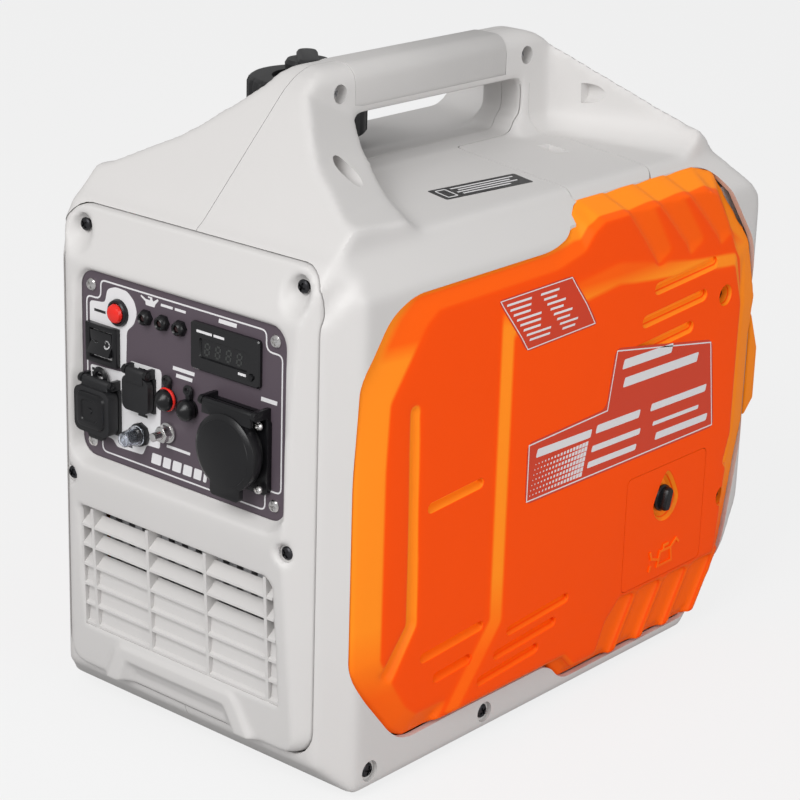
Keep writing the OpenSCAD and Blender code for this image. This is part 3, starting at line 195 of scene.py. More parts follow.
class Finish:
    """A node material for one of the generator's surfaces."""

    def __init__(self, name, **fixed):
        self.material = bpy.data.materials.new(name)
        self.material.use_nodes = True
        self.tree = self.material.node_tree
        self.shader = self.tree.nodes["Principled BSDF"]
        self.place = self.node("ShaderNodeTexCoord").part("Object")
        for key, value in fixed.items():
            self.shader.inputs[key.replace("_", " ")].default_value = value

    def node(self, kind, settings=None, **sockets):
        node = self.tree.nodes.new(kind)
        for key, value in (settings or {}).items():
            if key == "stops":
                for k, (at, tint) in enumerate(value):
                    stop = node.color_ramp.elements[k] if k < 2 else node.color_ramp.elements.new(at)
                    stop.position = at
                    stop.color = (*tint, 1) if len(tint) == 3 else tint
            else:
                setattr(node, key, value)
        for key, value in sockets.items():
            join(self.tree, node.inputs[key.replace("_", " ")], value)
        return Wire(self.tree, node.outputs[0])

    def noise(self, size, detail=2.0, roughness=0.5):
        """Noise whose cells are about size metres across, from 0 to 1."""
        return self.node("ShaderNodeTexNoise", None, Vector=self.place, Scale=1.0 / size, Detail=detail,
            Roughness=roughness)

    def axis(self, letter):
        return self.node("ShaderNodeSeparateXYZ", None, Vector=self.place).part(letter)

    def blend(self, factor, first, second):
        """Colour between first and second."""
        mix = self.node("ShaderNodeMix", {"data_type": "RGBA"})
        inputs = mix.socket.node.inputs
        join(self.tree, inputs[0], factor)
        join(self.tree, inputs[6], first if isinstance(first, Wire) else (*first, 1))
        join(self.tree, inputs[7], second if isinstance(second, Wire) else (*second, 1))
        return Wire(self.tree, mix.socket.node.outputs[2])

    def shade(self, colour, height=None, depth=0.0, **inputs):
        """Feeds the surface: a colour, other varying inputs, and a relief."""
        join(self.tree, self.shader.inputs["Base Color"],
            colour if isinstance(colour, Wire) else (*colour, 1))
        for key, value in inputs.items():
            join(self.tree, self.shader.inputs[key.replace("_", " ")], value)
        if height is not None:
            bump = self.node("ShaderNodeBump", None, Height=height, Strength=0.6, Distance=depth)
            self.tree.links.new(bump.socket, self.shader.inputs["Normal"])
        return self.material


def tint(colour, factor):
    return tuple(min(1.0, c * factor) for c in colour)


def moulded(name, colour, grain=0.0009, depth=0.00006, roughness=0.46, variety=0.05, **fixed):
    """Moulded plastic with a fine spark texture and faint cloudiness."""
    f = Finish(name, **fixed)
    fine = f.noise(grain, 3.0, 0.6)
    cloud = f.noise(0.07, 3.0)
    shade = f.blend(cloud, tint(colour, 1 - variety), tint(colour, 1 + variety))
    return f.shade(shade, fine, depth, Roughness=cloud * 0.10 + fine * 0.08 + (roughness - 0.09))


def metal(name, colour, roughness=0.3, grain=0.0015, **fixed):
    """Bare or plated metal with fine tool marks."""
    f = Finish(name, Metallic=1.0, **fixed)
    marks = f.noise(grain, 4.0, 0.7)
    cloud = f.noise(0.02)
    shade = f.blend(cloud, tint(colour, 0.82), tint(colour, 1.08))
    return f.shade(shade, marks, 0.00003, Roughness=marks * 0.16 + (roughness - 0.08))


def cover_finish(colour):
    """Bright moulded plastic, with a painted highlight: a lighter, yellower orange on the slopes between the flat
    faces, standing in for light that catches them.
    """
    f = Finish("cover_plastic", Specular_IOR_Level=0.10)
    fine = f.noise(0.0010, 3.0, 0.6)
    cloud = f.noise(0.07, 3.0)
    away = f.axis("X").math("ABSOLUTE")
    # painted highlight: how far the surface lies from the cover's face and the raised field's face; the slopes in
    # between are coloured lighter
    flat = (away - COVER_FACE * MM).math("ABSOLUTE").math("MINIMUM",
        (away - FIELD_FACE * MM).math("ABSOLUTE"))
    slope = (flat * 2200.0 - 0.45).math("MAXIMUM", 0.0).math("MINIMUM", 1.0)
    # the painted highlight is held back over the fluted upper slope
    fluted = ((f.axis("Z") - 0.300) * 90.0).math("MAXIMUM", 0.0).math("MINIMUM",
        1.0) * ((away - 0.1345) * 900.0).math("MAXIMUM", 0.0).math("MINIMUM", 1.0)
    slope = slope * (fluted * -0.8 + 1.0)
    # the painted highlight fades out towards the bottom of the cover
    painted_highlight_fade = ((f.axis("Z") - 0.05) * 14.0).math("MAXIMUM", 0.25).math("MINIMUM", 1.0)
    low_tone = f.blend(cloud, tint(colour, 0.97), tint(colour, 1.03))
    # painted highlight colour: full red, green raised 3.3 times, a little blue
    shade = f.blend(slope * painted_highlight_fade, low_tone, (1.0, colour[1] * 3.3, colour[2] + 0.012))
    return f.shade(shade, fine, 0.00007, Roughness=cloud * 0.10 + fine * 0.08 + 0.36)


FINISHES = {}


def mix_finishes(looks):
    """Every finish of the generator, by name."""
    FINISHES.update(
        shell=moulded("shell_plastic", looks.shell, grain=0.0010, depth=0.00005, roughness=0.50,
            variety=0.015, Specular_IOR_Level=0.35),
        grip=moulded("grip_rubber", tint(looks.shell, 0.86), grain=0.0014, depth=0.00022, roughness=0.62,
            variety=0.05, Specular_IOR_Level=0.3),
        orange=cover_finish(looks.cover),
        black=moulded("black_plastic", looks.black, grain=0.0007, depth=0.00002, roughness=0.30,
            variety=0.2, Specular_IOR_Level=0.4),
        soft_black=moulded("black_rubber", tint(looks.black, 1.3), grain=0.0008, depth=0.00004,
            roughness=0.55, variety=0.2),
        dark=moulded("dark_plastic", (0.008, 0.008, 0.009), roughness=0.5, variety=0.15),
        gloss=moulded("gloss_black", (0.008, 0.008, 0.009), grain=0.004, depth=0.00001, roughness=0.17,
            variety=0.2),
        red=moulded("red_button", looks.button, grain=0.003, depth=0.00001, roughness=0.24, variety=0.05),
        plate=moulded("panel_plate", looks.plate, grain=0.0006, depth=0.00002, roughness=0.46, variety=0.04,
            Specular_IOR_Level=0.3),
        white=moulded("white_print", (0.72, 0.71, 0.72), grain=0.0008, depth=0.00001, roughness=0.45,
            variety=0.03),
        label=moulded("label_film", looks.label, grain=0.0012, depth=0.00001, roughness=0.30, variety=0.04),
        ink=moulded("black_print", (0.012, 0.012, 0.013), grain=0.001, depth=0.00001, roughness=0.35,
            variety=0.1),
        chrome=metal("bright_plating", (0.80, 0.79, 0.78), 0.20),
        dark_steel=metal("black_zinc", (0.06, 0.06, 0.065), 0.38),
        steel=metal("steel", (0.55, 0.55, 0.56), 0.34),
        cast=metal("cast_aluminium", (0.50, 0.50, 0.51), 0.52, 0.0025),
        hot=metal("heat_dulled_steel", (0.27, 0.24, 0.21), 0.5, 0.004),
        copper=metal("winding_wire", (0.55, 0.25, 0.10), 0.35),
        tank=moulded("tank_plastic", (0.05, 0.05, 0.055), grain=0.003, depth=0.0001, roughness=0.55,
            variety=0.15),
        sheet=moulded("painted_sheet", (0.025, 0.025, 0.027), grain=0.002, depth=0.00003, roughness=0.4,
            variety=0.12),
        lamp=moulded("lamp_lens", (0.016, 0.003, 0.003), grain=0.004, depth=0.00001, roughness=0.12,
            variety=0.2),
        segment=moulded("display_segment", (0.035, 0.037, 0.036), grain=0.004, depth=0.00001, roughness=0.3,
            variety=0.1),
        screen=moulded("meter_window", (0.010, 0.010, 0.011), grain=0.004, depth=0.00001, roughness=0.09,
            variety=0.2),
    )
    clear = Finish("clear_boot", Transmission_Weight=1.0, IOR=1.45)
    haze = clear.noise(0.003, 3.0)
    FINISHES["clear"] = clear.shade(clear.blend(haze, (0.82, 0.87, 0.95), (0.92, 0.95, 1.0)), haze, 0.0002,
        Roughness=haze * 0.12 + 0.10)


# Finish that each record slot gets
SLOT_FINISH = {
    "shell": "shell", "orange": "orange", "black": "black", "gloss_black": "gloss", "grip": "grip", "rubber": "soft_black",
    "panel": "plate", "red": "red", "clear": "clear", "screw_dark": "dark_steel", "screw_bright": "chrome", "tray": "sheet",
    "tank": "tank", "cast": "cast", "steel": "steel", "hot": "hot", "copper": "copper", "shroud": "dark",
}


# ---------- modelling ----------

def placed(axis, a, b, level):
    """The point at (a, b) on a plane across an axis."""
    return {"x": (level, a, b), "y": (a, level, b), "z": (a, b, level)}[axis]


def prism(points, axis, start, end, radius=0.0, segments=5):
    """An outline in the two other axes, its corners rounded, extruded along an axis."""
    bm = bmesh.new()
    bm.faces.new([bm.verts.new(placed(axis, p[0], p[1], start)) for p in points])
    if radius:
        bmesh.ops.bevel(bm, geom=bm.verts[:], offset=radius, segments=segments, profile=0.5,
            affect="VERTICES", material=-1)
    grown = bmesh.ops.extrude_face_region(bm, geom=bm.faces[:])
    bmesh.ops.translate(bm, verts=[v for v in grown["geom"] if isinstance(v, bmesh.types.BMVert)],
        vec=placed(axis, 0, 0, end - start))
    bmesh.ops.recalc_face_normals(bm, faces=bm.faces[:])
    return bm


def plate(lo, hi, axis, start, end, radius=0.0, segments=5):
    """A rectangle with rounded corners, extruded along an axis."""
    return prism([(lo[0], lo[1]), (hi[0], lo[1]), (hi[0], hi[1]), (lo[0], hi[1])], axis, start, end, radius,
        segments)


def block(lo, hi):
    """A box between two corners."""
    return plate((lo[0], lo[1]), (hi[0], hi[1]), "z", lo[2], hi[2])


def turned(profile, axis, at, steps=48):
    """A solid of revolution: the profile is [radius, level] from end to end, on a line through at along an axis."""
    bm = bmesh.new()
    verts = [bm.verts.new((r, 0, h)) for r, h in profile]
    edges = [bm.edges.new(pair) for pair in zip(verts, verts[1:])]
    bmesh.ops.spin(bm, geom=verts + edges, cent=(0, 0, 0), axis=(0, 0, 1), angle=2 * math.pi, steps=steps,
        use_merge=True)
    bmesh.ops.remove_doubles(bm, verts=bm.verts[:], dist=1e-4)
    turn = {"x": Matrix.Rotation(math.pi / 2, 4, "Y"), "y": Matrix.Rotation(-math.pi / 2, 4, "X"),
        "z": Matrix()}[axis]
    bmesh.ops.transform(bm, matrix=Matrix.Translation(at) @ turn, verts=bm.verts[:])
    bmesh.ops.recalc_face_normals(bm, faces=bm.faces[:])
    return bm


def rod(radius, axis, start, end, at, steps=32, wide_end=None):
    """A round bar or cone along an axis, through the point at in the two other axes."""
    return turned([(0, start), (radius, start), (wide_end or radius, end), (0, end)], axis,
        placed(axis, at[0], at[1], 0), steps)


def shave(bm, point, normal):
    """Cuts off what lies outside a plane, and closes the cut."""
    cut = bmesh.ops.bisect_plane(bm, geom=bm.verts[:] + bm.edges[:] + bm.faces[:], plane_co=point,
        plane_no=normal, clear_outer=True)
    edges = [e for e in cut["geom_cut"] if isinstance(e, bmesh.types.BMEdge)]
    if edges:
        bmesh.ops.edgeloop_fill(bm, edges=edges)
    return bm


def together(*shapes):
    """Several closed forms in one mesh."""
    whole = bmesh.new()
    for shape in shapes:
        mesh = bpy.data.meshes.new("spare")
        shape.to_mesh(mesh)
        whole.from_mesh(mesh)
        bpy.data.meshes.remove(mesh)
        shape.free()
    return whole


def mirrored(bm):
    """The same form on the other side of the middle seam."""
    copy = bm.copy()
    bmesh.ops.scale(copy, vec=(-1, 1, 1), verts=copy.verts[:])
    bmesh.ops.reverse_faces(copy, faces=copy.faces[:])
    return copy


def both(bm):
    return together(bm.copy(), mirrored(bm))


def rounded(lo, hi, radius, segments=5):
    """Points of a rectangle with rounded corners."""
    points = []
    for cx, cy, start in ((hi[0] - radius, hi[1] - radius, 0), (lo[0] + radius, hi[1] - radius, 90),
        (lo[0] + radius, lo[1] + radius, 180), (hi[0] - radius, lo[1] + radius, 270)):
        points += arc((cx, cy), radius, start, start + 90, segments)
    return points


def circle(at, radius, steps=24):
    return arc(at, radius, 0, 360 - 360 / steps, steps - 1)


def arc(centre, radius, start, end, steps):
    """Points of a circular arc, from one angle to another in degrees."""
    turn = [math.radians(start + (end - start) * k / steps) for k in range(steps + 1)]
    return [(centre[0] + radius * math.cos(t), centre[1] + radius * math.sin(t)) for t in turn]


def loft(axis, *rings):
    """A solid through outlines of equally many points, each given as (points, level)."""
    bm = bmesh.new()
    loops = []
    for points, level in rings:
        verts = [bm.verts.new(placed(axis, a, b, level)) for a, b in points]
        loops.append([bm.edges.new((verts[k - 1], verts[k])) for k in range(len(verts))])
    for first, second in zip(loops, loops[1:]):
        bmesh.ops.bridge_loops(bm, edges=first + second)
    for loop in (loops[0], loops[-1]):
        bmesh.ops.contextual_create(bm, geom=loop)
    bmesh.ops.recalc_face_normals(bm, faces=bm.faces[:])
    return bm


def slanted_loft(*rings):
    """A solid through outlines of equally many points in space."""
    bm = bmesh.new()
    loops = []
    for points in rings:
        verts = [bm.verts.new(p) for p in points]
        loops.append([bm.edges.new((verts[k - 1], verts[k])) for k in range(len(verts))])
    for first, second in zip(loops, loops[1:]):
        bmesh.ops.bridge_loops(bm, edges=first + second)
    for loop in (loops[0], loops[-1]):
        bmesh.ops.contextual_create(bm, geom=loop)
    bmesh.ops.recalc_face_normals(bm, faces=bm.faces[:])
    return bm


def bar(start, end, radius, steps=12):
    """A round bar between two points."""
    way = Vector(end) - Vector(start)
    bm = rod(radius, "z", 0, way.length, (0, 0), steps)
    turn = way.to_track_quat("Z", "Y").to_matrix().to_4x4()
    bmesh.ops.transform(bm, matrix=Matrix.Translation(start) @ turn, verts=bm.verts[:])
    return bm


def stroke(points, width, axis, start, end):
    """A line of constant width through points in the two other axes, extruded along an axis."""
    pieces = []
    for (a0, b0), (a1, b1) in zip(points, points[1:]):
        length = math.hypot(a1 - a0, b1 - b0)
        u, v = (a1 - a0) / length, (b1 - b0) / length
        h = width / 2
        pieces.append(prism([(a0 - v * h - u * h, b0 + u * h - v * h),
                    (a1 - v * h + u * h, b1 + u * h + v * h), (a1 + v * h + u * h, b1 - u * h + v * h),
                    (a0 + v * h - u * h, b0 - u * h - v * h)], axis, start, end))
    return pieces


def outline_band(points, width, axis, start, end):
    """A closed thin line just inside an outline."""
    inner = []
    turn = sum(p[0] * q[1] - q[0] * p[1] for p, q in zip(points, points[1:] + points[:1]))
    for k, here in enumerate(points):
        before, after = Vector(points[k - 1]), Vector(points[(k + 1) % len(points)])
        u, v = (Vector(here) - before).normalized(), (after - Vector(here)).normalized()
        side = Vector((-u.y - v.y, u.x + v.x)) * (1 if turn > 0 else -1)
        reach = width * 2 / max(0.5, side.length_squared)
        inner.append(tuple(Vector(here) + side * reach))
    bm = bmesh.new()
    loops = []
    for ring, level in ((points, start), (points, end), (inner, end), (inner, start)):
        verts = [bm.verts.new(placed(axis, p[0], p[1], level)) for p in ring]
        loops.append([bm.edges.new((verts[k - 1], verts[k])) for k in range(len(verts))])
    for first, second in zip(loops, loops[1:] + loops[:1]):
        bmesh.ops.bridge_loops(bm, edges=first + second)
    bmesh.ops.recalc_face_normals(bm, faces=bm.faces[:])
    return bm


class Part:
    """A piece under construction, in millimetres."""

    def __init__(self, name, *shapes):
        self.mesh = bpy.data.meshes.new(name)
        self.object = bpy.data.objects.new(name, self.mesh)
        bpy.context.scene.collection.objects.link(self.object)
        together(*shapes).to_mesh(self.mesh)
        self.tools = []

    def copy(self, name):
        twin = Part(name)
        self.bake()
        old = twin.object.data
        twin.object.data = self.object.data.copy()
        bpy.data.meshes.remove(old)
        return twin

    def _boolean(self, operation, shapes):
        for shape in shapes:
            tool = shape.object if isinstance(shape, Part) else Part("tool", shape).object
            modifier = self.object.modifiers.new(operation.lower(), "BOOLEAN")
            modifier.operation = operation
            modifier.solver = "MANIFOLD"
            modifier.object = tool
            if not isinstance(shape, Part):
                self.tools.append(tool)
        return self

    def cut(self, *shapes):
        return self._boolean("DIFFERENCE", shapes)

    def keep(self, *shapes):
        return self._boolean("INTERSECT", shapes)

    def add(self, *shapes):
        return self._boolean("UNION", shapes)

    def soften(self, voxel, passes, factor=0.5):
        """Blends the part's forms into each other."""
        remesh = self.object.modifiers.new("blend", "REMESH")
        remesh.mode = "VOXEL"
        remesh.voxel_size = voxel
        if passes:
            smooth = self.object.modifiers.new("smooth", "SMOOTH")
            smooth.factor = factor
            smooth.iterations = passes
        return self

    def round(self, width, segments=2, angle=30.0):
        """Rounds the part's edges."""
        bevel = self.object.modifiers.new("edges", "BEVEL")
        bevel.width = width
        bevel.segments = segments
        bevel.limit_method = "ANGLE"
        bevel.angle_limit = math.radians(angle)
        bevel.use_clamp_overlap = True
        bevel.miter_outer = "MITER_ARC"
        return self

    def bake(self):
        """Applies the tools used so far."""
        if self.object.modifiers:
            graph = bpy.context.evaluated_depsgraph_get()
            made = bpy.data.meshes.new_from_object(self.object.evaluated_get(graph))
            self.object.modifiers.clear()
            old = self.object.data
            self.object.data = made
            bpy.data.meshes.remove(old)
        self.drop_tools()
        return self

    def taken(self):
        """The part's mesh, after which the part is gone."""
        self.bake()
        bm = bmesh.new()
        bm.from_mesh(self.object.data)
        discard(self)
        return bm

    def drop_tools(self):
        for tool in self.tools:
            data = tool.data
            bpy.data.objects.remove(tool)
            bpy.data.meshes.remove(data)
        self.tools = []

    def clean(self, flat=0.5):
        """Merges doubles and joins faces that lie in one plane."""
        self.bake()
        bm = bmesh.new()
        bm.from_mesh(self.object.data)
        bmesh.ops.remove_doubles(bm, verts=bm.verts[:], dist=0.01)
        bmesh.ops.dissolve_limit(bm, angle_limit=math.radians(flat), verts=bm.verts[:], edges=bm.edges[:])
        bm.to_mesh(self.object.data)
        bm.free()
        return self

    def finish(self, finish, body="housing", replaces=(), slot=None, angle=32.0):
        """Turns the part into a finished piece in metres, riding on a body."""
        self.bake()
        mesh = self.object.data
        mesh.transform(Matrix.Scale(MM, 4))
        mesh.materials.clear()
        mesh.materials.append(FINISHES[finish])
        for face in mesh.polygons:
            face.material_index = 0
            face.use_smooth = True
        mesh.set_sharp_from_angle(angle=math.radians(angle))
        mesh.update()
        if not len(mesh.polygons):
            raise RuntimeError(f"{self.object.name} came out empty")
        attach(self.object, body)
        if replaces:
            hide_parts(*replaces)
        return self.object


def discard(*parts):
    for part in parts:
        part.drop_tools()
        data = part.object.data
        bpy.data.objects.remove(part.object)
        bpy.data.meshes.remove(data)


def softened(node, width, segments=2, finish=None, body=None, angle=28.0):
    """A CAD node's form with rounded edges, in place of the node."""
    part = Part(node + "_finished")
    bm = bmesh.new()
    bm.from_mesh(frame["nodes"][node].data)
    bmesh.ops.scale(bm, vec=(1000, 1000, 1000), verts=bm.verts[:])
    bmesh.ops.remove_doubles(bm, verts=bm.verts[:], dist=0.02)
    bmesh.ops.dissolve_limit(bm, angle_limit=math.radians(1.0), verts=bm.verts[:], edges=bm.edges[:])
    edges = [e for e in bm.edges if e.is_manifold and e.calc_face_angle(0) > math.radians(angle)]
    bmesh.ops.bevel(bm, geom=edges, offset=width, segments=segments, profile=0.5, affect="EDGES",
        clamp_overlap=True, material=-1)
    bm.to_mesh(part.object.data)
    bm.free()
    slot = RECORD_SLOTS[node]
    home = next(b for b, nodes in frame["record"]["behaviour"]["bodies"].items() if node in nodes)
    return part.finish(finish or SLOT_FINISH[slot], body or home, (node,), slot)


# ---------- the half shells ----------

def body_solid(inset=0.0):
    """The body below the handle, as planes shaved off a block."""
    bm = block((-HALF_W + inset, FRONT + inset, BASE + inset),
        (HALF_W - inset, REAR - inset, DECK_MID - inset))
    facets = [
        ((0, 0, DECK_MID), (12, 0, 115)), ((BEVEL_X, 0, DECK_EDGE), (29, 0, 22)),
        ((0, FRONT, 27), (0, -1, -1)), ((0, FRONT, 328), (0, -58, 48)),
        ((0, REAR - 73, DECK_MID), (0, 48, 51)), ((0, REAR - 22, 338), (0, 36, 18)), ((0, REAR - 4, 302),
            (0, 40, 4)),
        ((0, REAR, 170), (0, 48, -6)), ((0, REAR - 6, 122), (0, 64, -28)), ((0, REAR - 34, 58), (0, 53, -52)),
        ((118, FRONT, 0), (24, -20, 0)), ((119, REAR, 0), (22, 18, 0)),
    ]
    for point, normal in facets:
        for side in (1, -1) if normal[0] else (1,):
            out = Vector((normal[0] * side, normal[1], normal[2])).normalized()
            shave(bm, Vector((point[0] * side, point[1], point[2])) - out * inset, out)
    return bm


def shoulder():
    """The slope behind the front cover's top edge."""
    bm = prism([(-234, 296), (-234, 361), (-229, 367), (-190, 388), (-150, 388), (-150, 296)], "x", -124, 124)
    for side in (1, -1):
        for point, normal in (((0, 0, DECK_MID), (12, 0, 115)), ((BEVEL_X, 0, DECK_EDGE), (29, 0, 22)),
            ((117, -234, 0), (19, -12, 0)), ((118, -234, 361), (24, -10, 12))):
            shave(bm, (point[0] * side, point[1], point[2]),
                Vector((normal[0] * side, normal[1], normal[2])).normalized())
    return bm


HANDLE_SIDE = [(-240, 340), (-240, 352), (-227, 367), (-150, TOP - 13), (-139, TOP - 5), (-126, TOP),
    (85, TOP), (100, TOP - 4), (112, TOP - 13), (172, 386), (184, 374), (184, 340)]


# Where the side of each post meets its slope, as [x, y, z]; the side leans in by FLANK_LEAN towards the bar
FRONT_FLARE = [(14, -138, 458), (21, -150, 445), (36, -163, 432), (50, -175, 420), (65, -186, 409),
    (84, -195, 400), (106, -206, 388), (130, -212, 383)]
REAR_FLARE = [(22, 100, 458), (34, 112, 446), (56, 126, 431), (77, 141, 417), (93, 153, 405),
    (108, 165, 393), (130, 172, 386)]
FLANK_LEAN = math.tan(math.radians(20))


def flank(flare, outer):
    """What lies beside a post, from its outer end to the handle's middle."""
    rings = []
    for y in (outer, MID_Y):
        line = [(x + FLANK_LEAN * abs(y - at) * (1 if (y - at) * outer > 0 else -1), y, z) for x, at,
            z in flare]
        rings.append([(line[0][0], y, 620), *line, (260, y, flare[-1][2]), (260, y, 620)])
    return slanted_loft(*rings)


def foot(toe, turn, way, wall):
    """What lies between the posts' feet: a wall with a hollow foot, turned from straight across."""
    rings = []
    for reach, radius in ((-40, wall[0]), (150, wall[1])):
        section = [(-radius, 620)] + arc((0, DECK_MID - 1 + radius), radius, 180, 270,
            10) + [(160, DECK_MID - 1), (160, 620)]
        rings.append([(reach, a * way, z) for a, z in section])
    bm = slanted_loft(*rings)
    bmesh.ops.rotate(bm, verts=bm.verts[:], cent=(0, 0, 0),
        matrix=Matrix.Rotation(math.radians(turn), 3, "Z"))
    bmesh.ops.translate(bm, verts=bm.verts[:], vec=(0, toe, 0))
    bmesh.ops.rotate(bm, verts=bm.verts[:], cent=(0, 0, DECK_MID), matrix=Matrix.Rotation(DECK_TILT, 3, "Y"))
    return bm


def posts():
    """Both posts of the handle on the right side, hollowed towards the deck."""
    right = Part("posts", prism(HANDLE_SIDE, "x", 0, 118))
    right.cut(flank(FRONT_FLARE, -260), flank(REAR_FLARE, 220))
    right.cut(foot(-71, -30, 1, (19, 19)), foot(82, 25, -1, (13, 30)),
        block((-1, -60, DECK_MID - 1), (130, 70, 620)))
    return right.taken()


def handle_gap(grow=0.0):
    """The hand gap, right through the handle."""
    outline = (arc((-94 - grow, 401 - grow), 16, 180, 270, 5) + arc((64 + grow, 401 - grow), 16, 270, 360, 5)
               + arc((72 + grow, GAP_TOP - 8 + grow), 8, 0, 90, 4) + arc((-104 - grow, GAP_TOP - 8 + grow), 8, 90, 180, 4))
    return prism(outline, "x", -200, 200)


def outer_form(looks):
    """Both halves' outer form in one softened solid."""
    side = posts()
    section = prism([(-BAR_HALF, 340), (BAR_HALF, 340)] + arc((BAR_HALF - 13, TOP - 13), 13, 0, 90, 6)
        + arc((13 - BAR_HALF, TOP - 13), 13, 90, 180, 6), "y", -300, 300)
    core = Part("core", prism(HANDLE_SIDE, "x", -BAR_HALF, BAR_HALF)).keep(section).cut(handle_gap())
    form = Part("form", body_solid()).add(shoulder(), mirrored(side), side, core)
    form.add(prism([(-32, 378), (32, 378), (18, 396), (-18, 396)], "y", 72, 112))
    form.bake()
    form.soften(looks.voxel, looks.blend).bake()
    discard(core)
    return form


COVER_EDGE = [
    (-222, 92), (-222, 226), (-219, 294), (-194, 330), (-172, 340), (-31, 341), (-8, 348), (2, 360), (14,
        366), (151, 366), (172, 360),
    (218, 301), (230, 255), (226, 224), (226, 158), (218, 127), (206, 66), (198, 42), (162, 13), (4,
        13), (-12, 30), (-121, 30), (-168, 29), (-182, 37), (-214, 76),
]
SHELF_X = 121.5
SCREWS_UP = [(-116, 441, 6.5), (83, 441, 6.5)]
SCREWS_DEEP = [(-156, 404, 8), (124, 411, 7.5)]
RAIL_BOLTS = [(-203.5, 18), (-83.3, 18)]
HATCH = ((17, 10), (121.2, 102))


def cover_opening(grow, start=131.0, stop=200.0):
    """The opening of the right side cover, with its higher part under the deck's edge."""
    mid = (0, 190)
    edge = [(mid[0] + (y - mid[0]) * (1 + grow / 240), mid[1] + (z - mid[1]) * (1 + grow / 190)) for y,
        z in COVER_EDGE]
    whole = prism(edge, "x", start, stop, 9, 4)
    shelf = Part("shelf", prism(edge, "x", SHELF_X - 0.3, start + 1, 9,
            4)).keep(block((0, 2 - grow, 332 - grow), (200, 260, 420))).bake()
    bm = bmesh.new()
    bm.from_mesh(shelf.object.data)
    discard(shelf)
    return whole, bm


def hatch_prism(grow):
    """The hatch's outline, with its inner rear corner cut off beside the post."""
    (x0, y0), (x1, y1) = HATCH
    return prism([(x0 - grow, y0 - grow), (x1 + grow, y0 - grow), (x1 + grow, y1 + grow),
            (x0 + 29, y1 + grow), (x0 - grow, y1 - 16)], "z", 330, 420, 4, 3)


def sleeve(grow=0.0):
    """The sleeve round the handle's bar, 1.6 mm thick."""
    def section(g):
        return arc((BAR_HALF - 12, TOP - 12), 12 + g, 0, 90, 6) + arc((12 - BAR_HALF, TOP - 12), 12 + g, 90,
            180, 6) + arc((8 - BAR_HALF, GAP_TOP + 8), 8 + g, 180, 270,
            5) + arc((BAR_HALF - 8, GAP_TOP + 8), 8 + g, 270, 360, 5)
    lo, hi = low("handle_grip").y, high("handle_grip").y
    ring = Part("ring", prism(section(grow), "y", lo - grow, hi + grow))
    ring.cut(prism(section(-1.6 - grow), "y", lo - 5, hi + 5))
    return ring.taken()


def make_shells(looks):
    """Half shells, rear cover and plug hatch, all cut from one outer form."""
    seam = looks.seam
    form = outer_form(looks)
    rear_area = plate((-108, 66), (108, 300), "y", 190, 300, 14, 5)
    rear_gap = plate((-108 - seam, 66 - seam), (108 + seam, 300 + seam), "y", 190, 300, 14, 5)
    # the rear cover and the hatch keep the form's own skin
    rear = form.copy("rear_cover_finished").keep(rear_area).cut(body_solid(3.4))
    for k in range(9):
        for x0, x1 in ((-92, -4), (4, 62)):
            z = 100 + k * 13
            if x1 == 62 and z > 160:
                continue
            rear.cut(plate((x0, z), (x1, z + 6), "y", 150, 300, 2.9, 4))
    rear.cut(plate((64, 186), (108.5, 252), "y", 150, 300, 6, 4))
    rear.finish("shell", replaces=("rear_cover",), slot="shell")
    under = Part("under", body_solid(3.2)).cut(block((40, 60, 300), (72, 86, 400)))
    lid = form.copy("spark_plug_lid_finished").keep(hatch_prism(0)).cut(under)
    notch = loft("z", ([(47, 69), (60, 69), (63, 76), (49, 76)], 373),
        ([(44, 66), (63, 66), (67, 79), (46, 79)], 384), ([(43, 65), (64, 65), (68, 80), (45, 80)], 400))
    lid.cut(block((30, 50, 300), (80, 95, 370)), notch).finish("shell", body="hatch",
        replaces=("spark_plug_lid",), slot="shell")
    discard(under)
    form.cut(body_solid(4.5))
    # a ledge behind the side cover's upper edge
    for side in (1, -1):
        form.add(Part("ledge", body_solid(2.0)).keep(block((min(112 * side, 120.8 * side), -6, 318),
                    (max(112 * side, 120.8 * side), 228, 372))).taken())
        form.add(Part("ledge", body_solid(2.0)).keep(block((min(118 * side, 126.4 * side), 172, 236),
                    (max(118 * side, 126.4 * side), 240, 346))).taken())
    form.cut(plate((-117 - seam * 1.6, 32 - seam), (117 + seam * 1.6, 365 + seam), "y", -300, -200, 20, 6),
        rear_gap)
    whole, shelf = cover_opening(seam)
    for bm in (whole, mirrored(whole), shelf, mirrored(shelf)):
        form.cut(bm)
    form.cut(plate((-108, -200), (108, 148), "z", -5, 12))
    form.cut(hatch_prism(seam * 1.5))
    # seat for the sleeve round the bar
    form.cut(sleeve(0.25))
    form.cut(rod(28, "z", 340, 420, (-70, -52), 48))
    for y, z, r in SCREWS_UP:
        form.cut(both(rod(r, "x", 10.5, 60, (y, z), 28)))
    for y, z, r in SCREWS_DEEP:
        form.cut(both(rod(r, "x", 40, 130, (y, z), 32)))
    for y, z in RAIL_BOLTS:
        form.cut(both(rod(7.5, "x", 133.5, 160, (y, z), 28)), both(rod(2.6, "x", 100, 160, (y, z), 16)))
    form.bake()
    for side, name in ((1, "right_shell"), (-1, "left_shell")):
        half = form.copy(name + "_finished")
        half.cut(block((min(-220 * side, 0.22 * side), -320, -20), (max(-220 * side, 0.22 * side), 320, 500)))
        half.finish("shell", replaces=(name,), slot="shell")
    discard(form)


class GENERATOR_OT_shells(bpy.types.Operator):
    """Half shells with the handle, rear cover and spark plug hatch"""
    bl_idname = "generator.shells"
    bl_label = "Shells"

    def execute(self, context):
        make_shells(context.scene.generator_looks)
        return {"FINISHED"}


# ---------- the stage ----------

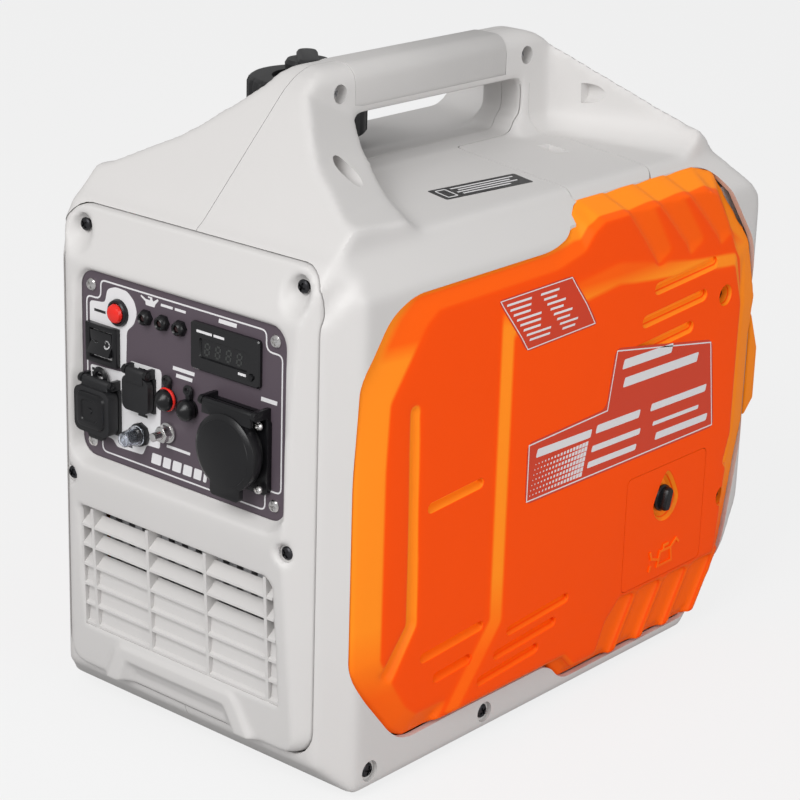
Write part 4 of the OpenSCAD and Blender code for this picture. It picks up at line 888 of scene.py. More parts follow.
class GENERATOR_OT_stage(bpy.types.Operator):
    """Floor, soft light and camera"""
    bl_idname = "generator.stage"
    bl_label = "Stage"

    def execute(self, context):
        stage = context.scene.stage_looks
        scene = context.scene
        scene.view_settings.view_transform = "Standard"
        world = bpy.data.worlds.new("studio")
        world.use_nodes = True
        scene.world = world
        tree = world.node_tree
        tree.nodes.clear()
        path = tree.nodes.new("ShaderNodeLightPath")
        seen = Wire(tree, path.outputs["Is Camera Ray"]).math("MAXIMUM",
            Wire(tree, path.outputs["Is Transmission Ray"]))
        sky = tree.nodes.new("ShaderNodeBackground")
        sky.inputs["Color"].default_value = (1, 1, 1, 1)
        join(tree, sky.inputs["Strength"], seen * (1 - stage.world) + stage.world)
        out = tree.nodes.new("ShaderNodeOutputWorld")
        tree.links.new(sky.outputs[0], out.inputs["Surface"])
        floor = Finish("pale_floor", Roughness=0.9)
        tone = floor.noise(1.5)
        floor.shade(floor.blend(tone, (0.40, 0.40, 0.41), (0.44, 0.44, 0.44)))
        light = floor.node("ShaderNodeEmission", None, Color=(1, 1, 1, 1), Strength=1.02)
        rays = floor.node("ShaderNodeLightPath")
        camera = rays.part("Is Camera Ray").math("MAXIMUM", rays.part("Is Transmission Ray"))
        both_ways = floor.tree.nodes.new("ShaderNodeMixShader")
        join(floor.tree, both_ways.inputs[0], camera * 0.80)
        floor.tree.links.new(floor.shader.outputs[0], both_ways.inputs[1])
        floor.tree.links.new(light.socket, both_ways.inputs[2])
        floor.tree.links.new(both_ways.outputs[0], floor.tree.nodes["Material Output"].inputs["Surface"])
        bm = bmesh.new()
        bmesh.ops.create_grid(bm, x_segments=2, y_segments=2, size=6.0)
        mesh = bpy.data.meshes.new("floor")
        bm.to_mesh(mesh)
        bm.free()
        mesh.materials.append(floor.material)
        ground = bpy.data.objects.new("floor", mesh)
        scene.collection.objects.link(ground)
        for name, power, size, spot, aim in (
            ("key", stage.key, 1.6, (0.35, -2.2, 1.75), (0, 0, 0.22)),
            ("fill", stage.fill, 1.8, (2.7, -0.4, 1.0), (0, 0, 0.2)),
        ):
            lamp = bpy.data.lights.new(name, "AREA")
            lamp.energy = power
            lamp.size = size
            holder = bpy.data.objects.new(name, lamp)
            holder.location = spot
            holder.rotation_euler = (Vector(aim) - Vector(spot)).to_track_quat("-Z", "Y").to_euler()
            scene.collection.objects.link(holder)
        a, e, r = stage.azimuth, stage.elevation, stage.roll
        back = Vector((math.sin(a) * math.cos(e), -math.cos(a) * math.cos(e), math.sin(e)))
        right = Vector((math.cos(a), math.sin(a), 0))
        up = back.cross(right)
        tilted = right * math.cos(r) + up * math.sin(r), up * math.cos(r) - right * math.sin(r), back
        camera = bpy.data.objects.new("camera", bpy.data.cameras.new("camera"))
        camera.data.lens = stage.lens
        camera.data.sensor_width = 36.0
        turn = Matrix(tilted).transposed().to_4x4()
        camera.matrix_world = Matrix.Translation(Vector(stage.aim) + back * stage.distance) @ turn
        scene.collection.objects.link(camera)
        scene.camera = camera
        return {"FINISHED"}


# ---------- the side covers ----------

# The side cover's edge as [y, z, x] on the seam, and the edge of its flat face as [y, z]
COVER_RIM = [
    (-222, 92, 133, -197, 97), (-222, 226, 133, -197, 224), (-219, 294, 133, -194, 272), (-194, 330, 133.5,
        -160, 318),
    (-172, 340, 134.5, -148, 326), (-31, 341, 134.5, -28, 327), (-8, 348, 133, 2, 334), (2, 360, 126, 14,
        347), (14, 366, 121.6, 24, 352),
    (151, 366, 121.6, 146, 352), (172, 360, 126, 161, 346), (218, 301, 133.5, 196, 292), (230, 255, 134,
        204, 252), (226, 224, 134, 201, 224),
    (226, 158, 134, 201, 158), (218, 127, 134, 195, 130), (206, 66, 134, 187, 74), (198, 42, 134, 180,
        53), (162, 13, 133, 152, 30),
    (4, 13, 133, 8, 30), (-12, 30, 133, -8, 46), (-121, 30, 133, -119, 46), (-168, 29, 133, -160,
        46), (-182, 37, 133, -170, 54), (-214, 76, 133, -191, 86),
]
COVER_MID = (0, 190)
# The raised field: foot of its slope and its edge, as [y, z]
FIELD_FOOT = [(-91, 324), (-91, 92), (-142, 32), (0, 32), (11, 20), (157, 20), (189, 42), (199, 128),
    (206, 162), (206, 251), (192, 302), (44, 328)]
FIELD_EDGE = [(-74, 290), (-74, 86), (-118, 35), (0, 35), (12, 23), (156, 23), (186, 44), (196, 128),
    (202, 162), (202, 250), (188, 288), (42, 302)]
RIBBED = [(36, 16), (50, 44), (66, 58), (186, 58), (196, 74), (184, 30), (160, 12)]
VENTS = [
    (85, 291, 80, 9), (72, 269, 80, 9), (57, 248, 80, 9), (-158, 84, 66, 7), (-144, 65, 40, 7),
    (-69, 76, 70, 7), (-83, 62, 70, 7), (-100, 48, 68, 7), (-155, 191, 57, 7),
]
COVER_SCREWS = [(177, 268), (193, 104)]


def cover_form(inset=0.0):
    """The cover's moulded form, between the seam and its flat face."""
    def in_plane(y, z):
        return COVER_MID[0] + (y - COVER_MID[0]) * (1 - inset / 220), COVER_MID[1] + (z - COVER_MID[1]) * (1 - inset / 170)
    seam = [in_plane(y, z) for y, z, x, a, b in COVER_RIM]
    back = [((114 if z > 345 and y > 0 else 127.0) - inset * 12, *p) for p,
        (y, z, x, a, b) in zip(seam, COVER_RIM)]
    edge = [(x - inset, *p) for p, (y, z, x, a, b) in zip(seam, COVER_RIM)]
    face = [(COVER_FACE - inset, *in_plane(a, b)) for y, z, x, a, b in COVER_RIM]
    return slanted_loft(back, edge, face)


def stadium(at, length, height, tilt=4.0, grow=0.0, lift=0.0):
    """Outline of a slot with round ends that starts at a point, tilted by some degrees."""
    r = max(0.4, height / 2 + grow)
    turn = math.radians(tilt)
    points = []
    for end, start in ((length - height / 2, -90), (height / 2, 90)):
        for a, b in arc((end, lift), r, start, start + 180, 6):
            points.append((at[0] + a * math.cos(turn) - b * math.sin(turn), at[1] + a * math.sin(turn)
                    + b * math.cos(turn)))
    return points


def vent(y, z, length, height, face):
    """A slot whose floor slopes up towards a narrow opening."""
    return loft("x", (stadium((y, z), length, height, grow=1.1), face + 0.6), (stadium((y, z), length, height), face - 0.7),
                (stadium((y, z), length, height * 0.45, lift=height * 0.2), face - 5.2))


# Grooves beside the rims, as [y, z, side that the point widens to]
FRONT_GROOVE = ((-172, 266, -1), (-170, 266, 1), (-166, 112, 1), (-190, 78, 1), (-197, 82, -1),
    (-170, 114, -1))
REAR_GROOVE = ((203, 292, -1), (206, 290, 1), (205, 152, 1), (197, 128, 1), (194, 130, -1), (202, 154, -1))


def groove(outline, levels):
    """A groove that gets wider from its floor to its mouth; levels are [x, widening]."""
    return slanted_loft(*[[(x, y + side * width, z) for y, z, side in outline] for x, width in levels])


def moulded_cover():
    """Side cover on the right side: softened form, before its slots are cut."""
    form = Part("cover", cover_form())
    foot = [(COVER_FACE - 1.0, a, b) for a, b in FIELD_FOOT]
    rise = [(FIELD_FACE, a, b) for a, b in FIELD_EDGE]
    form.add(slanted_loft([(COVER_FACE - 6, a, b) for a, b in FIELD_FOOT], foot, rise))
    form.cut(prism(RIBBED, "x", 137.2, 150))
    for y in (74, 108, 142, 176):
        form.add(slanted_loft(*[[(x, y + a - 17, 15 + b), (x, y + a + w - 17, 15 + b), (x, y + a + w + 12, 60 + b), (x, y + a + 12, 60 + b)]
                                for x, a, w, b in ((133, 0, 12, 0), (136.6, 0, 12, 0), (140.6, 3.5, 5, 0))]))
    form.cut(groove(FRONT_GROOVE, ((135.6, 0.6), (143, 4.6))),
        groove(REAR_GROOVE, ((136.6, 0.4), (145, 4.0))))
    # flutes that run over the upper slope: deep along one side, fading out over the other
    for (y0, z0), (y1, z1) in (((40, 368), (90, 306)), ((76, 368), (131, 306)), ((113, 368), (170, 306))):
        line = [(y0, z0 + 2, 116.5), (y0 + 14, 352.5, 138.8), (y1 - 4, 316, 139.5), (y1, z1, 142.0)]
        form.cut(slanted_loft(*[[(x - 2.6, y, z), (x + 8, y - 1.0, z), (x + 8, y + 30, z),
                        (x + 0.5, y + 30, z)] for y, z, x in line]))
    form.bake()
    form.soften(2.2, 3).bake()
    return form


def finish_cover(form, name, node, side, recess=None):
    """Hollows a softened cover, cuts its slots and hands it over."""
    backing = [plate((y - 4, z - 9), (y + length + 4, z + 14), "x", 100, 160) for y, z, length,
        height in VENTS]
    backing += [plate(a, b, "x", 100, 160) for a, b in (((-206, 72), (-156, 270)), ((186, 124), (212, 298)),
            ((36, 294), (204, 376)))]
    hollow = Part("hollow", cover_form(3.0)).cut(*backing,
        *(rod(9.5, "x", 100, 160, spot, 24) for spot in COVER_SCREWS))
    form.cut(hollow)
    for y, z, length, height in VENTS:
        form.cut(vent(y, z, length, height, COVER_FACE if y + length < -80 or y == -158 else FIELD_FACE))
    for y, z in COVER_SCREWS:
        form.cut(loft("x", (circle((y, z), 3.0), 120), (circle((y, z), 3.0), 133.5),
                (circle((y, z), 6.4), 133.51), (circle((y, z), 6.8), 139), (circle((y, z), 9.5), 145)))
    if side > 0:
        form.cut(plate((low("oil_door").y - 0.45, low("oil_door").z - 0.45),
                (high("oil_door").y + 0.45, high("oil_door").z + 0.45), "x", 100, 160, 5, 4))
    if recess:
        form.add(plate((recess[0] - 59, recess[1] - 20), (recess[0] + 59, recess[1] + 20), "x", 112.8, 138,
                12, 5))
        form.cut(loft("x", (rounded((recess[0] - 56, recess[1] - 17), (recess[0] + 56, recess[1] + 17), 10), 115),
                      (rounded((recess[0] - 56, recess[1] - 17), (recess[0] + 56, recess[1] + 17), 10), 136),
                      (rounded((recess[0] - 62, recess[1] - 23), (recess[0] + 62, recess[1] + 23), 16), 143)))
        form.cut(rod(4, "x", 100, 140, recess, 20))
    form.bake()
    if side < 0:
        bm = bmesh.new()
        bm.from_mesh(form.object.data)
        flipped = mirrored(bm)
        flipped.to_mesh(form.object.data)
        bm.free()
        flipped.free()
    discard(hollow)
    form.object.name = name
    form.clean(0.6)
    form.finish("orange", replaces=(node,), slot="orange")


OIL_CAN = [[(110, 71), (128, 71), (126, 82), (113, 82), (110, 71)], [(111, 76), (102, 79), (100, 84)],
    [(126, 82), (133, 87), (136, 84)], [(117, 82), (117, 86), (122, 86)], [(101, 73), (100, 70)]]


def make_covers():
    """Both side covers, the oil door and its latch."""
    form = moulded_cover()
    left = form.copy("left_cover")
    door = form.copy("oil_door_finished")
    lo, hi = low("oil_door"), high("oil_door")
    door.keep(plate((lo.y, lo.z), (hi.y, hi.z), "x", FIELD_FACE - 4.5, 150, 5, 4))
    at = (115, 124)

    def drop(scale):
        """A round hollow that narrows to a point above the latch."""
        return [(at[0] + 2 + a * scale * (1 - max(0.0, b) / 32), at[1] - 2
                + b * scale * (1.0 if b < 0 else 1.45)) for a, b in circle((0, 0), 15.5, 36)]
    door.add(rod(20, "x", FIELD_FACE - 6.5, FIELD_FACE - 2, (at[0] + 2, at[1]), 40))
    door.cut(loft("x", (drop(0.74), FIELD_FACE - 5.6), (drop(0.96), FIELD_FACE - 1.6),
            (drop(1.12), FIELD_FACE + 1.0)))
    for line in OIL_CAN:
        for bm in stroke(line, 2.0, "x", FIELD_FACE - 1.0, FIELD_FACE + 0.9):
            door.add(bm)
    pin = low("oil_door").z + 1.5
    door.add(rod(1.0, "y", lo.y - 3, hi.y + 3, (FIELD_FACE - 1.5, pin), 16))
    door.finish("orange", body="door", replaces=("oil_door",), slot="orange")
    knob = Part("oil_door_knob_finished", turned([(0, -3.6), (9.0, -3.6), (10.2, -3.0), (10.2, -1.6),
                (9.2, -0.4), (0, -0.4)], "x", (FIELD_FACE, *at), 40))
    grip = loft("x", (stadium((-9.2, 0), 18.4, 8.6, 0), -2), (stadium((-9.2, 0), 18.4, 8.0, 0), 2.6),
        (stadium((-8.2, 0), 16.4, 6.0, 0), 4.2))
    bmesh.ops.rotate(grip, verts=grip.verts[:], cent=(0, 0, 0),
        matrix=Matrix.Rotation(math.radians(75), 3, "X"))
    bmesh.ops.translate(grip, verts=grip.verts[:], vec=(FIELD_FACE, *at))
    knob.add(grip, rod(3, "x", FIELD_FACE - 8, FIELD_FACE - 3, at, 20))
    knob.finish("black", body="door_latch", replaces=("oil_door_knob",), slot="black")
    skin_film(form)
    finish_cover(form, "right_side_cover_finished", "right_side_cover", 1)
    finish_cover(left, "left_side_cover_finished", "left_side_cover", -1, (-20, 225))


def skin_film(form):
    """Printed films on the right cover, lying on its skin."""
    def film(name, shapes, rise, finish):
        piece = form.copy(name)
        swell = piece.object.modifiers.new("swell", "DISPLACE")
        swell.strength = rise
        swell.mid_level = 0.0
        piece.bake()
        mask = Part("mask", *shapes)
        piece.keep(mask).cut(form)
        piece.bake()
        discard(mask)
        piece.finish(finish)

    def area(points, radius=0.0):
        return prism(points, "x", 136, 150, radius, 4)

    big = [(-56, 167), (173, 166), (163, 237), (41, 258), (33, 215), (-56, 212)]
    film("side_label", [area(big, 6)], 0.14, "label")
    data = [(-91, 320), (-10, 321), (17, 281), (-62, 279)]
    film("data_label", [area(data, 4)], 0.14, "label")
    white = [outline_band([(-54.5, 168.5), (171, 167.5), (161.5, 235.5), (42.5, 256), (34.5, 213.5),
                (-54.5, 210.5)], 0.9, "x", 136, 150)]
    white.append(outline_band([(-89, 319), (-11, 320), (14.5, 282), (-61, 280)], 0.7, "x", 136, 150))
    # dot pattern that fades to the left, and slanted stripes
    for row in range(7):
        for column in range(17):
            size = 0.35 + 0.075 * column
            y, z = -51 + column * 3.6 + row * 0.9, 172.5 + row * 3.6
            white.append(prism([(y - size, z - size), (y + size, z - size), (y + size * 1.3, z + size),
                        (y - size * 0.7, z + size)], "x", 136, 150))
    for y, z, length, height in [(-46, 199, 62, 6), (22, 199, 52, 6), (18, 186, 58, 4.5),
        (14, 175, 58, 4.5), (88, 199, 70, 5.5), (92, 187, 58, 3), (96, 175, 66, 5.5), (50, 240, 60, 7),
        (52, 226, 92, 7)]:
        slope = height * 0.3
        tilt = -0.02 * length
        white.append(prism([(y, z), (y + length, z + tilt), (y + length + slope, z + tilt + height),
                    (y + slope, z + height)], "x", 136, 150, min(1.2, height / 4), 3))
    for row in range(8):
        z = 314 - row * 4.0
        shift = row * 3.2
        for y0, y1 in ((-82, -56 - (row % 3) * 4), (-46, -26 - (row % 2) * 6)):
            white.append(prism([(y0 + shift, z), (y1 + shift, z), (y1 + shift + 0.5, z + 1.5),
                        (y0 + shift + 0.5, z + 1.5)], "x", 136, 150))
    film("side_print", white, 0.24, "white")


class GENERATOR_OT_covers(bpy.types.Operator):
    """Side covers with their slots, labels and oil door"""
    bl_idname = "generator.covers"
    bl_label = "Side covers"

    def execute(self, context):
        make_covers()
        return {"FINISHED"}


# ---------- the front cover ----------

FRONT_LO, FRONT_HI = (-117, 32), (117, 365)
FRONT_SIDE = [(-215, 20), (-246, 22), (-253, 178), (-252, 205), (-247, 328), (-235, 367), (-215, 367)]
GRILLE = [(-91, 66), (94.5, 66), (90, 150), (84, 156), (-91, 156)]
ROWS = 6
BARS = [-80, -26, 29, 84]
FUNNELS = [(-99.5, 351), (99.5, 351)]
LOW_SCREWS = [(-101, 177), (101, 177)]


def front_at(z):
    """Where the front cover's face stands at a height."""
    for (y0, z0), (y1, z1) in zip(FRONT_SIDE[1:], FRONT_SIDE[2:-1]):
        if z <= z1:
            return y0 + (y1 - y0) * (z - z0) / (z1 - z0)
    return FRONT_SIDE[-2][0]


def front_form(inset=0.0):
    """The front cover's form: a slope all round, and a face that leans."""
    rings = []
    for level, shrink, radius in ((-220 if inset else -226.5, 0, 20), (-238, 0, 20), (-250, 13.5, 9),
        (-262, 27, 2)):
        s = shrink + inset
        foot_slope = shrink * 0.25 + inset
        rings.append((rounded((FRONT_LO[0] + s, FRONT_LO[1] + foot_slope),
                    (FRONT_HI[0] - s, FRONT_HI[1] - s), max(1.0, radius - inset / 2), 5), level
                + (inset if level < -235 else 0)))
    solid = Part("spare", loft("y", *rings)).keep(prism([(y + inset, z) for y, z in FRONT_SIDE], "x", -120,
            120)).bake()
    bm = bmesh.new()
    bm.from_mesh(solid.object.data)
    discard(solid)
    return bm


def make_front():
    """Front cover: sloped rim, screw funnels, panel recess, louvre grille and bottom scoop."""
    form = Part("front_cover_finished", front_form())
    lo, hi = low("control_panel"), high("control_panel")
    frame_lo, frame_hi = (lo.x - 0.4, lo.z - 0.4), (hi.x + 0.4, hi.z + 0.4)
    form.cut(loft("y", (rounded((frame_lo[0] - 8, frame_lo[1] - 8), (frame_hi[0] + 8, frame_hi[1] + 6), 19),
                -256), (rounded(frame_lo, frame_hi, 12.4), PANEL_Y - 1.0),
            (rounded(frame_lo, frame_hi, 12.4), PANEL_Y + 2)))
    for x, z in FUNNELS:
        y = front_at(z)
        form.cut(loft("y", (circle((x * 0.985, z - 4), 19, 28), y - 9), (circle((x, z), 7.2, 28), y + 5.0),
                (circle((x, z), 7.0, 28), y + 8)))
    for x, z in LOW_SCREWS:
        y = front_at(z)
        form.cut(loft("y", (circle((x, z), 13, 28), y - 4), (circle((x, z), 7.2, 28), y + 1.0),
                (circle((x, z), 7.0, 28), y + 5)))
    form.cut(loft("y", ([(a * 1.055, 111 + (b - 111) * 1.10) for a, b in GRILLE], -257),
            (GRILLE, front_at(111) + 1.4), (GRILLE, front_at(111) + 5)))
    rim = Part("rim", loft("y", ([(-79, 20), (-64, 60), (-58, 65), (54, 65), (60, 60), (83, 20)],
                front_at(40) + 1), ([(-74, 20), (-60, 55), (-55, 60), (51, 60), (56, 55), (77, 20)],
                front_at(40) - 3.2)))
    form.add(rim.keep(block((-120, -262, FRONT_LO[1] + 1.5), (120, -200, 80))).taken())
    form.cut(loft("y", ([(-68, 10), (-51, 53), (47, 53), (70, 10)], front_at(40) - 5),
            ([(-63, 12), (-48, 49), (44, 49), (65, 12)], front_at(40) - 0.4),
            ([(-58, 12), (-44, 41), (40, 41), (59, 12)], front_at(40) + 3.4)))
    form.bake()
    form.soften(2.0, 4).bake()
    # the skin's hollow back, with the walls round the openings left standing
    hollow = Part("hollow", front_form(2.8))
    hollow.cut(plate((frame_lo[0] - 9, frame_lo[1] - 9), (frame_hi[0] + 9, frame_hi[1] + 8), "y", -262,
            -200, 13), prism([(a * 1.03, 111 + (b - 111) * 1.05) for a, b in GRILLE], "y", -262, -232, 0))
    for x, z in FUNNELS + LOW_SCREWS:
        hollow.cut(rod(17 if z > 300 else 10, "y", -262, -232 if z > 300 else -200,
                (x, z - (3 if z > 300 else 0)), 28))
    hollow.cut(prism([(-77, 24), (-60, 64), (56, 64), (80, 24)], "y", -262, front_at(40) + 6.5))
    form.cut(hollow)
    form.cut(plate((frame_lo[0], frame_lo[1]), (frame_hi[0], frame_hi[1]), "y", PANEL_Y - 0.5,
            high("control_panel").y + 0.3, 12.4))
    form.cut(plate((frame_lo[0] + 8, frame_lo[1] + 8), (frame_hi[0] - 8, frame_hi[1] - 8), "y", -262, -200,
            8))
    form.cut(prism(GRILLE, "y", -262, -200))
    for x, z in FUNNELS + LOW_SCREWS:
        form.cut(rod(2.7, "y", -262, -200, (x, z), 20), rod(6.0, "y", -262, front_at(z) + 5.6, (x, z), 28))
    form.bake()
    # slats: the lower ones close their row, the upper ones lean back below an open gap
    pitch = (156 - 66) / ROWS
    cell = Part("cell", prism(GRILLE, "y", -262, -200))
    shapes = []
    for row in range(ROWS):
        z = 66 + row * pitch
        face = front_at(z + 4) + 1.6
        if row < ROWS / 2:
            section = [(face, z + 0.2), (face, z + 1.9), (face + 2.2, z + 3.4),
                (face + 3.4, z + pitch + 0.4), (face + 6, z + pitch + 0.4), (face + 5, z + 0.2)]
        else:
            section = [(face, z + 0.2), (face, z + 1.9), (face + 8, z + 8.4), (face + 9.5, z + 7.0)]
        shapes.append(prism(section, "x", -97, 97))
    for bm in shapes:
        form.add(Part("slat", bm).keep(cell).taken())
    for x in BARS:
        form.add(prism([(front_at(66) + 1.2, 66), (front_at(156) + 1.2, 156), (-239, 156), (-236, 66)], "x",
                x - 1.3, x + 1.3))
    form.bake()
    discard(hollow, cell)
    form.clean(0.4)
    form.finish("shell", replaces=("front_cover",), slot="shell")


class GENERATOR_OT_front(bpy.types.Operator):
    """Front cover with its louvres"""
    bl_idname = "generator.front"
    bl_label = "Front cover"

    def execute(self, context):
        make_front()
        return {"FINISHED"}


# ---------- the control panel and what it carries ----------

FACE = PANEL_Y


def middle(node):
    """A CAD node's middle on the panel, as (x, z)."""
    return (low(node).x + high(node).x) / 2, (low(node).z + high(node).z) / 2


def screw_head(at, level, axis, way, radius=4.2, cross=True):
    """A pan head with a cross recess, standing out along an axis."""
    head = turned([(0, 0), (radius, 0), (radius * 0.98, 0.9), (radius * 0.8, 1.9), (radius * 0.4, 2.4),
            (0, 2.5)], axis, (0, 0, 0), 28)
    if way < 0:
        k = "xyz".index(axis)
        scale = [1, 1, 1]
        scale[k] = -1
        bmesh.ops.scale(head, vec=scale, verts=head.verts[:])
        bmesh.ops.reverse_faces(head, faces=head.faces[:])
    bmesh.ops.translate(head, verts=head.verts[:], vec=placed(axis, at[0], at[1], level))
    if not cross:
        return head
    piece = Part("head", head)
    arm, width = radius * 0.62, radius * 0.17
    turn = math.radians((at[0] * 7 + at[1] * 3) % 80)
    for k in range(2):
        a = turn + k * math.pi / 2
        u, v = math.cos(a), math.sin(a)
        points = [(at[0] + arm * u * i - width * v * j, at[1] + arm * v * i + width * u * j) for i,
            j in ((-1, -1), (1, -1), (1, 1), (-1, 1))]
        piece.cut(prism(points, axis, level + way * 0.9, level + way * 4))
    piece.bake()
    bm = bmesh.new()
    bm.from_mesh(piece.object.data)
    discard(piece)
    return bm


def panel_print():
    """White line and fields of the printed plate, and dark marks on them."""
    top, under = FACE - 0.14, FACE + 0.1

    def flat(points, radius=0.0, lift=0.0):
        return prism(points, "y", top - lift, under - lift, radius, 4)

    edge = [(-91, 212), (-77, 212), (-77, 197.5), (77, 197.5), (77, 212), (91, 212), (91, 306), (77, 306),
        (77, 319.5), (-77, 319.5), (-77, 306), (-91, 306)]
    start_field = [(-87.5, 260), (-52.5, 262), (-51.5, 289), (-44.5, 295), (-41.5, 303), (-44, 311),
        (-51, 316.5), (-62, 317), (-70, 314), (-72.5, 304), (-87.5, 302.5)]
    charge_field = [(-87.5, 257.5), (-49.5, 259.5), (-48.5, 269), (-20, 269.5), (-18.5, 267.5),
        (-20.5, 214), (-33, 213.5), (-37, 205.5), (-62, 204.5), (-66, 209), (-87.5, 210)]
    shapes = [outline_band(rounded_corners(edge, 5), 1.1, "y", top, under),
        flat(rounded_corners(start_field, 3)), flat(rounded_corners(charge_field, 2))]
    # oil can, and short bars where the plate is lettered
    shapes.append(flat([(-33, 311.2), (-25, 311.2), (-24, 313.5), (-21, 316.6), (-22, 317.4), (-26, 315),
                (-27, 316.2), (-27, 317.6), (-31, 317.6), (-31, 316.6), (-29, 316.6), (-29, 315.2),
                (-33, 315.2), (-37.5, 317.2), (-38, 316.2), (-33.5, 313.6)]))
    for x0, x1, z, h in ((-19, -8, 313.5, 1.8), (-6, 4, 313.5, 1.8), (34, 50, 314.4, 2.8),
        (-8, 12, 272.8, 2.6), (-5, 10, 268.2, 2.6), (72, 86, 271.5, 2.8), (-14, 8, 217.0, 2.0)):
        shapes.append(flat([(x0, z), (x1, z), (x1 + h * 0.15, z + h), (x0 + h * 0.15, z + h)]))
    for start, width in ((-29, 9), (-18, 7), (-9, 8), (1, 8), (11, 7), (20, 3)):
        shapes.append(flat([(start, 202.0), (start + width, 202.0), (start + width + 1.4, 209.5),
                    (start + 1.4, 209.5)], 0.8))
    Part("panel_print", *shapes).finish("white")
    marks = ((-83, -72, 302.0 - 6), (-78, -68, 262.6), (-86, -79, 253.8), (-86, -76, 250.8),
        (-40, -31, 264.6), (-41, -32, 232.6), (-56, -47, 207.4))
    dark = [flat([(x0, z), (x1, z), (x1, z + 1.9), (x0, z + 1.9)], 0.0, 0.1) for x0, x1, z in marks]
    Part("panel_marks", *dark).finish("ink")


def rounded_corners(points, radius, segments=4):
    """An outline with each corner rounded."""
    made = []
    count = len(points)
    for k in range(count):
        before, here, after = Vector(points[k - 1]), Vector(points[k]), Vector(points[(k + 1) % count])
        r = min(radius, (before - here).length * 0.45, (after - here).length * 0.45)
        start, end = here + (before - here).normalized() * r, here + (after - here).normalized() * r
        for step in range(segments + 1):
            t = step / segments
            p = start.lerp(here, t).lerp(here.lerp(end, t), t)
            made.append((p.x, p.y))
    return made


def digit(at, height):
    """The seven bars of a display digit, slanted."""
    w, h, s = height * 0.5, height, height * 0.09
    lines = [((0, 0), (w, 0)), ((0, h / 2), (w, h / 2)), ((0, h), (w, h)), ((0, 0), (0, h / 2)),
        ((0, h / 2), (0, h)), ((w, 0), (w, h / 2)), ((w, h / 2), (w, h))]
    bars = []
    for (a0, b0), (a1, b1) in lines:
        gap = s * 0.9
        length = math.hypot(a1 - a0, b1 - b0)
        u, v = (a1 - a0) / length, (b1 - b0) / length
        p, q = (a0 + u * gap, b0 + v * gap), (a1 - u * gap, b1 - v * gap)
        bars.append([(at[0] + x + 0.12 * z, at[1] + z) for x,
                z in ((p[0] - v * s, p[1] + u * s), (q[0] - v * s, q[1] + u * s),
                    (q[0] + v * s, q[1] - u * s), (p[0] + v * s, p[1] - u * s))])
    return bars


def rocker_marks():
    """A bar and a ring printed on the two ends of the rocker."""
    lo, hi = low("engine_switch_rocker"), high("engine_switch_rocker")
    bm = bmesh.new()
    bm.from_mesh(frame["nodes"]["engine_switch_rocker"].data)
    bmesh.ops.scale(bm, vec=(1000, 1000, 1000), verts=bm.verts[:])
    bmesh.ops.remove_doubles(bm, verts=bm.verts[:], dist=0.02)
    shape = Part("rocker_marks", bm.copy())
    bmesh.ops.translate(bm, verts=bm.verts[:], vec=(0, 0.16, 0))
    z = (lo.z + hi.z) / 2
    line = plate((lo.x + 4.0, z - 0.7), (lo.x + 9.0, z + 0.7), "y", lo.y - 2, hi.y - 4)
    ring = turned([(1.9, 0), (2.9, 0), (2.9, 8), (1.9, 8), (1.9, 0)], "y", (hi.x - 6.5, lo.y - 2, z), 28)
    mask = Part("mask", line, ring)
    under = Part("under", bm)
    shape.keep(mask).cut(under)
    shape.bake()
    discard(mask, under)
    shape.finish("white", body="switch_rocker")


